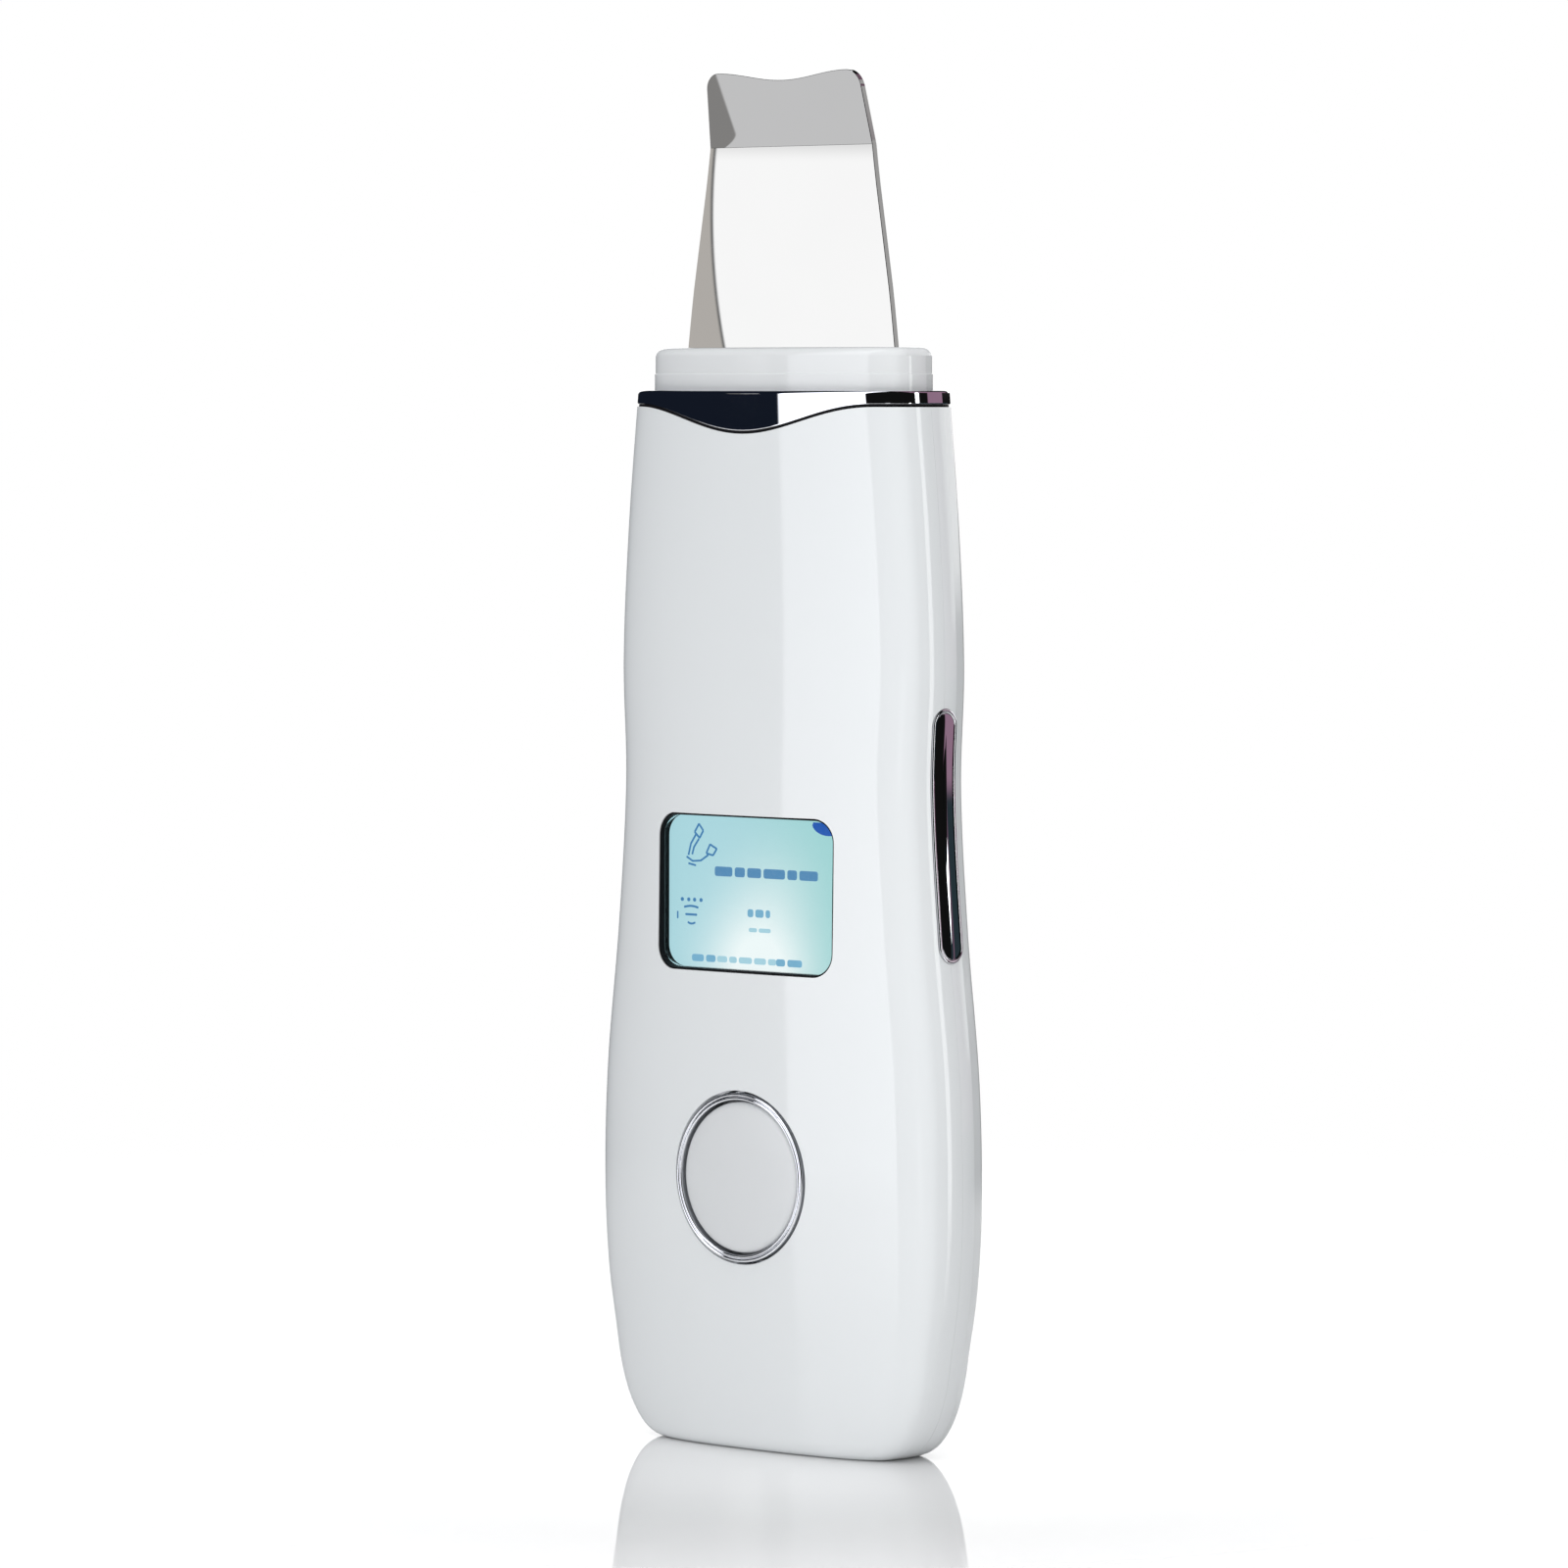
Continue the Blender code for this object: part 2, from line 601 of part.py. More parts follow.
def ultrasonic_stack():
    """Horn, two piezo rings with their electrodes, back mass and clamp bolt, as a column below the blade."""
    axis = Vector((0, 0, 0))
    profile = [
        (0, HORN_HIGH), (HORN_RADIUS - 1, HORN_HIGH), (HORN_RADIUS, HORN_HIGH - 1.5),
        (HORN_RADIUS, HORN_LOW), (STACK_BORE, HORN_LOW), (STACK_BORE, HORN_LOW + 9), (0, HORN_LOW + 9),
    ]
    horn = turned("transducer_horn", profile, "aluminium", axis)
    cut(horn, box("tang_slot_cutter", (-8, -0.7, 112), (8, 0.7, 125), "white_nylon"))
    screw_z = BLADE_SCREW_Z / MM
    cut(horn, rod_y("blade_screw_bore_cutter", TANG_HOLE_RADIUS, 0, screw_z, -8, 8, segments=12))
    cut(horn, rod_y("blade_screw_well_cutter", 2.2, 0, screw_z, 4.4, 8))
    for name, slot, low, high, tab in (
        ("piezo_ring_upper", "ceramic", 97.0, 99.7, 0),
        ("electrode_upper", "copper", 96.2, 96.7, 1),
        ("piezo_ring_lower", "ceramic", 93.2, 95.9, 0),
        ("electrode_lower", "copper", 92.4, 92.9, -1),
        ("back_mass", "steel", 86.6, 92.1, 0),
    ):
        washer = [(STACK_BORE, low), (STACK_RADIUS, low), (STACK_RADIUS, high), (STACK_BORE, high)]
        ring = turned(name, washer, slot, axis)
        if tab:
            near, far = sorted((tab * 5.0, tab * 8.0))
            add(ring, box(f"{name}_tab", (near, -1, low), (far, 1, high), slot))
    bolt = [(0, 84.0), (2.8, 84.0), (2.8, 86.3), (1.5, 86.3), (1.5, 108.0), (0, 108.0)]
    turned("clamp_bolt", bolt, "steel", axis, segments=16)
    screw = [(0, -5.4), (1.0, -5.4), (1.0, 4.7), (1.8, 4.7), (1.8, 5.8), (0, 5.8)]
    turned("blade_screw", screw, "steel", Vector((0, 0, BLADE_SCREW_Z)), "Y", 14)


def transducer_mount():
    """Rubber block that carries the horn between the covers."""
    rings = []
    count = 24
    for outer, z in ((True, 106), (True, 110), (False, 110), (False, 106)):
        ring = []
        for i in range(count):
            a = math.tau * i / count
            if outer:
                x, y = face_point(a if a <= math.pi else math.tau - a, 13 * MM, 7.1 * MM, 0)
                ring.append((x, y if a <= math.pi else -y, z * MM))
            else:
                radius = HORN_RADIUS * MM + CLEARANCE
                ring.append((radius * math.cos(a), radius * math.sin(a), z * MM))
        rings.append(ring)
    loft("transducer_mount", rings, "silicone", Vector((0, 0, 108 * MM)), closed=True)


# ------------------------------------------------------------ window and display


def display():
    """Window frame, lens, panel, backlight and holder, from the front to the circuit board."""
    rim, inner = window_outline(0), window_outline(-WINDOW_RIM)
    frame_slab("window_frame", rim, inner, -8.1, -6.0, WINDOW_Z, "black_plastic")
    lens = window_outline(-WINDOW_RIM - CLEARANCE)
    slab("window_lens", lens, -7.5, -6.9, WINDOW_Z, "clear_lens")
    slab("display_panel", lens, -6.6, -4.2, WINDOW_Z, "display_glass")
    z = WINDOW_Z / MM
    box("backlight", (-13.2, -3.9, z - 8.6), (13.2, -2.6, z + 8.6), "diffuser", bevel=0.3)
    outer = rounded_rectangle(30.6 * MM, 21.0 * MM, 1.2 * MM, steps=2)
    hole = rounded_rectangle(27.2 * MM, 18.0 * MM, 0.5 * MM, steps=2)
    holder = frame_slab("display_holder", outer, hole, -5.6, FRONT_SIDE, WINDOW_Z, "white_nylon")
    cut(holder, box("flex_slot_cutter", (-6.6, -6, z - 12), (6.6, -4.4, z - 8), "white_nylon"))
    display_flex(z)


def display_flex(z):
    """Flexible tail from the panel's lower edge, out through the holder and down to the circuit board."""
    start, drop = z - 8.9, z - 12.2
    down = [(-5.0, start), (-5.0, drop - 0.3), (FRONT_SIDE, drop - 0.3)]
    back = [(FRONT_SIDE, drop), (-4.7, drop), (-4.7, start)]
    rings = [[(x * MM, y * MM, height * MM) for y, height in down + back] for x in (-6.0, 6.0)]
    loft("display_flex", rings, "polyimide", Vector((0, -4.85, drop)) * MM)


# ------------------------------------------------------------ button


def button():
    """Chrome bezel fixed in the front cover, and the cap and switch plunger that move in along +Y."""
    centre = Vector((0, 0, BUTTON_Z))
    turned("button_bezel", BEZEL_PROFILE, "chrome", centre, "Y", 36)
    moving = bpy.data.objects.new("button_axis", None)
    moving.location = centre
    bpy.context.scene.collection.objects.link(moving)
    pieces = [turned("button_cap", CAP_PROFILE, "button_grey", Vector(), "Y", 36)]
    pieces.append(rod_y("switch_plunger", 1.6, 0, 0, -6.6, -4.6, "chip_black"))
    for piece in pieces:
        piece.parent = moving
    z = BUTTON_Z / MM
    body = box("tact_switch", (-3, -5.7, z - 3), (3, FRONT_SIDE, z + 3), "steel")
    cut(body, rod_y("plunger_well_cutter", 1.9, 0, z, -6.5, -3.4))
    pad = [(7.8, -4.3), (10.2, -4.3), (10.2, FRONT_SIDE), (7.8, FRONT_SIDE)]
    turned("button_stop_pad", pad, "silicone", centre, "Y", 24)


# ------------------------------------------------------------ side contacts


def side_contacts():
    """Chrome ion contact on each side band: a bezel, and a crowned plate with a solder tab inside."""
    z = STRIP_Z / MM
    bottom = BAND_BULGE - STRIP_POCKET_DEPTH + CLEARANCE
    top = BAND_BULGE + STRIP_PROUD
    hole = -STRIP_BEZEL_WIDTH
    for side, label in ((1, "right"), (-1, "left")):
        bezel = side_strip(f"side_bezel_{label}", side, 0, bottom, top, 0.05 * MM, "chrome")
        cutter = side_strip(f"bezel_{label}_cutter", side, hole, bottom - MM, top + MM, 0, "chrome")
        cut(bezel, cutter)
        plate = side_strip(
            f"side_plate_{label}", side, hole - CLEARANCE, bottom, BAND_BULGE, STRIP_PROUD, "chrome"
        )
        base = half_width(STRIP_Z) / MM
        near, far = sorted((side * (base - 3.4), side * (base - 0.5)))
        add(plate, box(f"tab_{label}", (near, -0.8, z - 1.2), (far, 0.8, z + 1.2), "chrome"))


# ------------------------------------------------------------ electronics


def circuit_board():
    board = box(
        "main_board", (-BOARD_HALF_WIDTH, BOARD_FRONT / MM, BOARD_LOW),
        (BOARD_HALF_WIDTH, BOARD_BACK / MM, BOARD_HIGH), "board_green",
    )
    for i, (x, z) in enumerate(BOARD_SCREWS, 1):
        cut(board, rod_y(f"board_hole_{i}_cutter", 1.3, x, z, -4, 1, segments=12))
        screw = [(0, -4.9), (1.0, -4.9), (1.0, BACK_SIDE), (1.7, BACK_SIDE), (1.7, 0.3), (0, 0.3)]
        turned(f"board_screw_{i}", screw, "steel", Vector((x, 0, z)) * MM, "Y", 12)
    box("control_chip", (-11, -4.0, 45.1), (-4, FRONT_SIDE, 52.1), "chip_black", bevel=0.2)
    box("boost_inductor", (5, -5.2, 45.6), (11, FRONT_SIDE, 51.6), "ferrite", bevel=0.5)
    box("drive_transformer", (-5, BACK_SIDE, 70), (5, 4.8, 80), "ferrite", bevel=0.5)
    box("battery_connector", (9.2, BACK_SIDE, 68.8), (14.8, 3.6, 73.2), "white_nylon", bevel=0.3)
    can = [(0, 68.5), (2.5, 68.5), (2.5, 77.2), (2.2, 77.5), (0, 77.5)]
    centre = Vector((-11, 2.1, 0)) * MM
    turned("reservoir_capacitor", can, "capacitor_sleeve", centre, segments=16)
    socket = box("charge_socket", (-4.5, BACK_SIDE, 0.6), (4.5, 2.5, 8.0), "steel", bevel=0.4)
    cut(socket, box("socket_mouth_cutter", (-4.1, -0.3, -0.5), (4.1, 2.1, 6.2), "steel"))
    add(socket, box("socket_tongue", (-3.3, 0.55, 1.4), (3.3, 1.25, 7.0), "steel"))


def battery():
    box("battery_pad", (-11, BACK_SIDE, 20), (11, -0.1, 61), "foam")
    box("battery", (-12.5, 0.2, 17), (12.5, 5.4, 64), "battery_foil", bevel=0.8)


def leads():
    """Insulated leads, each from a solder tab to its pad or connector."""
    live = ((8.7, 0, 96.4), (9.4, 0.4, 93), (10.2, 0.8, 88), (9.8, -0.2, 81))
    ground = ((-8.7, 0, 92.6), (-9.4, 0.4, 90), (-10.2, 0.8, 86), (-9.8, -0.2, 80.5))
    plus = ((3.5, 4.2, 65), (5.5, 4.4, 66.6), (8.5, 3.6, 67.4), (10.6, 1.8, 68))
    minus = ((3.5, 1.6, 65), (6, 1.6, 65.8), (10, 1.2, 66.2), (13.4, 1.4, 68))
    wire("piezo_lead_live", "wire_red", live)
    wire("piezo_lead_ground", "wire_black", ground)
    wire("battery_lead_plus", "wire_red", plus)
    wire("battery_lead_minus", "wire_black", minus)
    for side, label in ((1, "right"), (-1, "left")):
        start = (side * (half_width(STRIP_Z) / MM - 4.1), 0, 73.5)
        route = (start, (side * 18.4, 0.4, 74.4), (side * 17.2, 0.6, 76.2), (side * 15.6, -0.2, 78.0))
        wire(f"ion_lead_{label}", "wire_black", route)


def gather(name):
    """Parents every loose piece to one empty at the origin, so that the assembly moves as one."""
    loose = [o for o in bpy.data.objects if o.parent is None]
    root = bpy.data.objects.new(name, None)
    bpy.context.scene.collection.objects.link(root)
    for piece in loose:
        piece.parent = root


def main():
    for old in list(bpy.data.objects):
        bpy.data.objects.remove(old, do_unlink=True)
    cut_shared_openings([front_cover(), rear_cover()])
    trim_ring()
    collar()
    blade_seal()
    case_screws()
    blade()
    ultrasonic_stack()
    transducer_mount()
    display()
    button()
    side_contacts()
    circuit_board()
    battery()
    leads()
    gather("skin_scrubber")


main()
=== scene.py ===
"""Look of a hand-held ultrasonic skin scrubber on a pale glossy floor, built round its CAD frame."""

import json
import math

import bmesh
import bpy
import numpy as np
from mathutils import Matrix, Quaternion, Vector


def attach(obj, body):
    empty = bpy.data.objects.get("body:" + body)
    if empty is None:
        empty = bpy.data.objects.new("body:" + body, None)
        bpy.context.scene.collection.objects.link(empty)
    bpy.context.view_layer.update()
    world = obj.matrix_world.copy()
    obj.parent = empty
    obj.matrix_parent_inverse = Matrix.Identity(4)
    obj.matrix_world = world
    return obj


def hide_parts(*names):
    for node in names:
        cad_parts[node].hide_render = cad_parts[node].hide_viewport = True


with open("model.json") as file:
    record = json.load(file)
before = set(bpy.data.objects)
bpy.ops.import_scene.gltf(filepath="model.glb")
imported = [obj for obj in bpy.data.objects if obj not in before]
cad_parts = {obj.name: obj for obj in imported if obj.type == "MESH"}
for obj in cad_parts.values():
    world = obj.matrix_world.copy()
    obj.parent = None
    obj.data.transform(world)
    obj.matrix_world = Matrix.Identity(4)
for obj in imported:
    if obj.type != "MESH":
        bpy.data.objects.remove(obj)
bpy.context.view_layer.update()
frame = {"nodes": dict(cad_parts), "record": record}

MM = 0.001

# ---- the handle's curves, in millimetres

# (height, half width) and (height, half depth) up the handle
OUTLINE = (
    (0, 24.4), (10, 24.9), (20, 26.4), (30, 26.95), (45, 26.5), (62, 24.7), (79.5, 23.5), (94, 23.95),
    (110, 23.1), (126.5, 21.5),
)
DEPTHS = ((0, 7.4), (10, 8.2), (30, 9.3), (50, 9.25), (66, 9.05), (95, 9.0), (126.5, 8.9))
# How far the foot is drawn in, and over what height: across its width, then across its depth
FOOT_WIDTH, FOOT_HEIGHT = 7.2, 11.6
FOOT_EDGE_DEPTH, FOOT_EDGE_HEIGHT = 1.6, 1.8
# Half the width of the band along each side, and how far its middle stands out
BAND_HALF, BAND_BULGE = 2.4, 0.25
BAND_SLOPE = 2 * BAND_BULGE / BAND_HALF
# The power of the faces' section, 2 being an ellipse, and how many degrees their normals turn sideways
FACE_POWER = 2.4
FACE_EDGE_TURN = 70
WALL = 1.6
BODY_TOP = 126.5
SEAM_GAP = 0.03
# A point is on the skin where its value is this near to 0
SKIN_REACH = 0.004

# The trim ring's lower edge at the sides, how far it dips in the middle, and half the width of the dip
TRIM_EDGE, TRIM_DIP, TRIM_DIP_HALF = 124.9, 3.2, 18.7
TRIM_GAP = 0.34
TRIM_BEVEL, TRIM_LIP = 0.4, 0.15
COLLAR_WIDE, COLLAR_DEEP, COLLAR_BAND = 19.9, 7.0, 1.5
COLLAR_BOTTOM, COLLAR_ROOF, COLLAR_TOP = 122.6, 129.2, 131.6
COLLAR_EDGE = 1.0
COLLAR_STEP, COLLAR_STEP_Z = 0.08, 128.5
SLOT_WIDE, SLOT_DEEP = 17.9, 1.65

BLADE_HALF_THICK = 0.4
# (height, half width) up the blade
BLADE_EDGE = (
    (112.4, 5.4), (124.5, 5.4), (127.3, 16.8), (131.6, 16.6), (137.9, 15.8), (144.9, 14.65), (151.8, 13.5),
    (155.6, 13.0), (165, 12.1),
)
CREASE, SHOULDER, TIP = 155.6, 162.4, 164.4
TIP_HOLLOW, TIP_CORNER = 1.0, 2.0
TIP_BEND = 11
LEAN = math.tan(math.radians(TIP_BEND))
CREASE_SOFT = 0.02
GRIND = 0.06
TANG_HOLE, TANG_HOLE_Z = 1.3, 118

WINDOW_Z, WINDOW_WIDE, WINDOW_HIGH, WINDOW_RADIUS = 66.65, 28.0, 18.7, 2.8
WINDOW_GAP = 0.04
BUTTON_Z, BUTTON_HOLE = 32.9, 10.4
CUT_FRONT, CUT_BACK = -12, -5
STRIP_Y, STRIP_Z, STRIP_HALF_LONG, STRIP_HALF_WIDE = 0.3, 74.1, 15.0, 2.05
CASE_SCREWS = ((19.8, 24.0), (-19.8, 24.0), (17.0, 104.0), (-17.0, 104.0))
BOARD_SCREWS = ((13.0, 10.0), (-13.0, 10.0), (14.6, 48.6), (-14.6, 48.6))
# Radii of the screw bosses and their holes, and how deep the bosses root in the wall
CASE_BOSS, CASE_HOLE = 2.4, 1.3
BOARD_BOSS, BOARD_HOLE = 2.0, 1.2
REAR_BOSS, HEAD_HOLE, SHANK_HOLE = 2.8, 2.0, 1.35
BOSS_ROOT = 0.85


def smooth_through(points, at):
    """A smooth cubic curve through (place, value) points, read at an array of places."""
    x, y = np.array(points, float).T
    slope = np.empty_like(y)
    slope[1:-1] = (y[2:] - y[:-2]) / (x[2:] - x[:-2])
    slope[0] = (y[1] - y[0]) / (x[1] - x[0])
    slope[-1] = (y[-1] - y[-2]) / (x[-1] - x[-2])
    at = np.clip(at, x[0], x[-1])
    i = np.clip(np.searchsorted(x, at, side="right") - 1, 0, len(x) - 2)
    span = x[i + 1] - x[i]
    t = (at - x[i]) / span
    value = (2 * t**3 - 3 * t**2 + 1) * y[i] + (3 * t**2 - 2 * t**3) * y[i + 1]
    return value + (t**3 - 2 * t**2 + t) * span * slope[i] + (t**3 - t**2) * span * slope[i + 1]


def rounding(z, size, height):
    """How far a quarter-ellipse corner of that size and height draws in at z."""
    up = np.clip(z / height, 0, 1)
    return size * (1 - np.sqrt(1 - (1 - up) ** 2))


def half_width(z):
    return smooth_through(OUTLINE, z) - rounding(z, FOOT_WIDTH, FOOT_HEIGHT)


def half_depth(z):
    return smooth_through(DEPTHS, z) - rounding(z, FOOT_EDGE_DEPTH, FOOT_EDGE_HEIGHT)


def face_point(turn, wide, deep, band):
    """(x, depth) on a convex face; turn runs from 0 at the right side to pi at the left."""
    cosine, sine = np.cos(turn), np.clip(np.sin(turn), 0, 1)
    power = 2 / FACE_POWER
    return np.sign(cosine) * wide * np.abs(cosine) ** power, band + (deep - band) * sine**power


def face_depth(x, z):
    share = np.clip(np.abs(x) / half_width(z), 0, 1) ** FACE_POWER
    return BAND_HALF + (half_depth(z) - BAND_HALF) * (1 - share) ** (1 / FACE_POWER)


def trim_edge(x):
    share = np.clip(np.abs(x) / TRIM_DIP_HALF, 0, 1)
    return TRIM_EDGE - TRIM_DIP * (1 + np.cos(math.pi * share)) / 2


def face_value(p):
    """Zero on the handle's faces, above zero outside them."""
    x, y, z = np.abs(p[:, 0]), np.abs(p[:, 1]), p[:, 2]
    across, out = x / half_width(z), np.clip(y - BAND_HALF, 0, None) / (half_depth(z) - BAND_HALF)
    return across**FACE_POWER + out**FACE_POWER - 1


def band_value(p):
    """Zero on the handle's side bands, above zero outside them."""
    x, y, z = np.abs(p[:, 0]), np.abs(p[:, 1]), p[:, 2]
    return (x - BAND_BULGE * (1 - (y / BAND_HALF) ** 2)) / half_width(z) - 1


def unit(vectors):
    return vectors / np.clip(np.linalg.norm(vectors, axis=1, keepdims=True), 1e-9, None)


def skin_normals(value, points):
    """Unit normals, at points on it, of the surface where value is zero."""
    step = 0.01
    normal = np.empty_like(points)
    for axis in range(3):
        shift = np.zeros(3)
        shift[axis] = step
        normal[:, axis] = value(points + shift) - value(points - shift)
    return unit(normal)


def face_normals(points):
    """Unit normals of the faces. They stop turning sideways at FACE_EDGE_TURN, short of the crease."""
    normal = skin_normals(face_value, points)
    level = np.hypot(normal[:, 0], normal[:, 1])
    turn = math.radians(FACE_EDGE_TURN)
    steep = np.abs(normal[:, 0]) > level * math.sin(turn)
    normal[:, 0] = np.where(steep, np.sign(normal[:, 0]) * level * math.sin(turn), normal[:, 0])
    normal[:, 1] = np.where(steep, np.sign(points[:, 1]) * level * math.cos(turn), normal[:, 1])
    return normal


# ---- meshes


def shade(mesh, sharp_deg):
    """Smooth shading that stays sharp along edges of more than sharp_deg."""
    mesh.shade_smooth()
    mesh.set_sharp_from_angle(angle=math.radians(sharp_deg))


def new_object(name, points, faces, sharp_deg=35):
    """A smooth-shaded object from points in millimetres, with its faces turned outwards."""
    mesh = bpy.data.meshes.new(name)
    mesh.from_pydata((np.array(points, float) * MM).tolist(), [], faces)
    bm = bmesh.new()
    bm.from_mesh(mesh)
    bmesh.ops.recalc_face_normals(bm, faces=bm.faces)
    bm.to_mesh(mesh)
    bm.free()
    obj = bpy.data.objects.new(name, mesh)
    bpy.context.scene.collection.objects.link(obj)
    shade(mesh, sharp_deg)
    return obj


def tube_faces(count, size, closed=False):
    """Quads between count rings of size points each."""
    faces = []
    for i in range(count if closed else count - 1):
        j = (i + 1) % count
        for k in range(size):
            m = (k + 1) % size
            faces.append((i * size + k, i * size + m, j * size + m, j * size + k))
    return faces


def loft(name, rings, closed=False, sharp_deg=35):
    """Joins rings of equal length, each a closed loop. The ends are capped, or joined when closed."""
    rings = np.array(rings, float)
    count, size = rings.shape[:2]
    faces = tube_faces(count, size, closed)
    if not closed:
        faces += [tuple(range(size)), tuple(range((count - 1) * size, count * size))]
    return new_object(name, rings.reshape(-1, 3), faces, sharp_deg)


def sheet_solid(name, outer, inner, sharp_deg=35):
    """A closed body between two grids of equal size: rows x columns x 3."""
    outer, inner = np.array(outer, float), np.array(inner, float)
    rows, cols = outer.shape[:2]
    half = rows * cols
    faces = []
    for i in range(rows - 1):
        for j in range(cols - 1):
            a, b = i * cols + j, (i + 1) * cols + j
            faces.append((a, a + 1, b + 1, b))
            faces.append((half + a, half + b, half + b + 1, half + a + 1))
    for i in range(rows - 1):
        for j in (0, cols - 1):
            a, b = i * cols + j, (i + 1) * cols + j
            faces.append((a, b, half + b, half + a) if j == 0 else (b, a, half + a, half + b))
    for j in range(cols - 1):
        for i in (0, rows - 1):
            a, b = i * cols + j, i * cols + j + 1
            faces.append((b, a, half + a, half + b) if i == 0 else (a, b, half + b, half + a))
    points = np.concatenate([outer.reshape(-1, 3), inner.reshape(-1, 3)])
    return new_object(name, points, faces, sharp_deg)


def turned_y(name, profile, x, z, segments=96, sharp_deg=35):
    """Turns (radius, y) points about a line along Y. A profile that starts at radius 0 is capped."""
    solid = profile[0][0] == 0
    profile = [(max(r, 0.001), y) for r, y in profile]
    turns = np.linspace(0, math.tau, segments, endpoint=False)
    rings = [[(x + r * math.cos(t), y, z + r * math.sin(t)) for t in turns] for r, y in profile]
    return loft(name, rings, closed=not solid, sharp_deg=sharp_deg)


def block(name, low, high):
    """A box between two corners, for cutting and joining."""
    (x0, y0, z0), (x1, y1, z1) = low, high
    return loft(name, [[(x0, y0, z), (x1, y0, z), (x1, y1, z), (x0, y1, z)] for z in (z0, z1)])


def rounded_rectangle(wide, high, radius, steps=14):
    """Outline about the origin, with steps to each quarter turn."""
    points = []
    for quarter in range(4):
        corner = math.pi / 2 * quarter + math.pi / 4
        cu = math.copysign(wide / 2 - radius, math.cos(corner))
        cv = math.copysign(high / 2 - radius, math.sin(corner))
        for i in range(steps + 1):
            turn = math.pi / 2 * (quarter + i / steps)
            points.append((cu + radius * math.cos(turn), cv + radius * math.sin(turn)))
    return points


def window_outline(margin):
    radius = max(WINDOW_RADIUS + margin, 0.6)
    return rounded_rectangle(WINDOW_WIDE + 2 * margin, WINDOW_HIGH + 2 * margin, radius)


def layered(name, layers):
    """A body of the window's outline, from the (y, margin) of each section."""
    return loft(name, [[(u, y, WINDOW_Z + v) for u, v in window_outline(margin)] for y, margin in layers])


def boolean(target, helper, operation):
    """Applies a boolean at once and removes the helper."""
    modifier = target.modifiers.new("cut", "BOOLEAN")
    modifier.operation = operation
    modifier.solver = "MANIFOLD"
    modifier.object = helper
    graph = bpy.context.evaluated_depsgraph_get()
    mesh = bpy.data.meshes.new_from_object(target.evaluated_get(graph))
    target.modifiers.clear()
    old = target.data
    target.data = mesh
    mesh.name = old.name
    bpy.data.meshes.remove(old)
    used = helper.data
    bpy.data.objects.remove(helper)
    bpy.data.meshes.remove(used)


def cut(target, helper):
    boolean(target, helper, "DIFFERENCE")


def join(target, helper):
    boolean(target, helper, "UNION")


# ---- covers

FACE_COLUMNS = 112
BODY_ROWS = 130


def body_heights():
    foot = FOOT_HEIGHT * (1 - np.cos(np.radians(np.linspace(0, 90, 22))))
    return np.concatenate([foot, np.linspace(FOOT_HEIGHT, BODY_TOP, BODY_ROWS)[1:]])


def to_top(z, x):
    """Draws rows above the handle's middle down to the edge under the trim ring."""
    middle = 60.0
    top = trim_edge(x) - TRIM_GAP
    return np.where(z > middle, middle + (z - middle) * (top - middle) / (BODY_TOP - middle), z)


def skin_row(z, side, inset):
    """Points round one half of the skin at height z: a side band, the face, the other side band."""
    turns = np.linspace(math.pi, 0, FACE_COLUMNS + 1)
    level = np.full_like(turns, z)
    for _ in range(4):
        x, y = face_point(turns, half_width(level) - inset, half_depth(level) - inset, BAND_HALF)
        level = to_top(np.full_like(turns, z), x)
    row = np.stack([x, side * y, level], axis=1)
    band = np.linspace(BAND_HALF, SEAM_GAP / 2, 7)[1:]
    above = BAND_BULGE * (1 - (band / BAND_HALF) ** 2)
    ends = []
    for end, sign in ((row[0], -1), (row[-1], 1)):
        ends.append(np.stack([end[0] + sign * above, side * band, np.full_like(band, end[2])], axis=1))
    return np.concatenate([ends[0][::-1], row, ends[1]])


def half_shell(name, side):
    """The front half of the handle's shell where side is -1, or the rear half where it is 1."""
    foot_flat = 0.94
    skins = []
    for inset in (0.0, WALL):
        heights = inset + body_heights() * (1 - inset / BODY_TOP)
        rows = [skin_row(z, side, inset) for z in heights]
        wide = foot_flat * (half_width(inset) - inset)
        share = np.linspace(-1, 1, rows[0].shape[0])
        seam = np.full_like(share, side * SEAM_GAP / 2)
        floor = np.stack([wide * share, seam, np.full_like(share, inset)], axis=1)
        skins.append([floor] + rows)
    return sheet_solid(name, skins[0], skins[1])


def strip_outline(margin, end_steps=24, side_steps=40):
    """(y, z) points round a side strip, from its lower end."""
    radius = STRIP_HALF_WIDE + margin
    straight = STRIP_HALF_LONG - STRIP_HALF_WIDE
    points = []
    for end in (-1, 1):
        centre = STRIP_Z + end * straight
        for i in range(end_steps + 1):
            turn = math.pi * i / end_steps + (math.pi if end < 0 else 0)
            points.append((STRIP_Y + radius * math.cos(turn), centre + radius * math.sin(turn)))
        low = points[-1]
        for i in range(1, side_steps):
            points.append((low[0], STRIP_Z + end * straight * (1 - 2 * i / side_steps)))
    return np.array(points)


def strip_ring(side, margin, above):
    """A side strip's outline, grown by margin and lifted above the handle's edge."""
    y, z = strip_outline(margin).T
    return np.stack([side * (half_width(z) + above), y, z], axis=1)


def cut_shared(cover):
    """Cuts the charging inlet, and a pocket and a tab hole for each side strip."""
    cut(cover, block("charge_cutter", (-4.9, -1.1, -1), (4.9, 2.9, 2.6)))
    for side in (1, -1):
        rings = [strip_ring(side, 0.05, above) for above in (-1.0, 2.0)]
        cut(cover, loft("pocket_cutter", rings))
        near, far = sorted((side * 18, side * 24))
        tab = block("tab_cutter", (near, -1.1, STRIP_Z - 1.5), (far, 1.1, STRIP_Z + 1.5))
        cut(cover, tab)


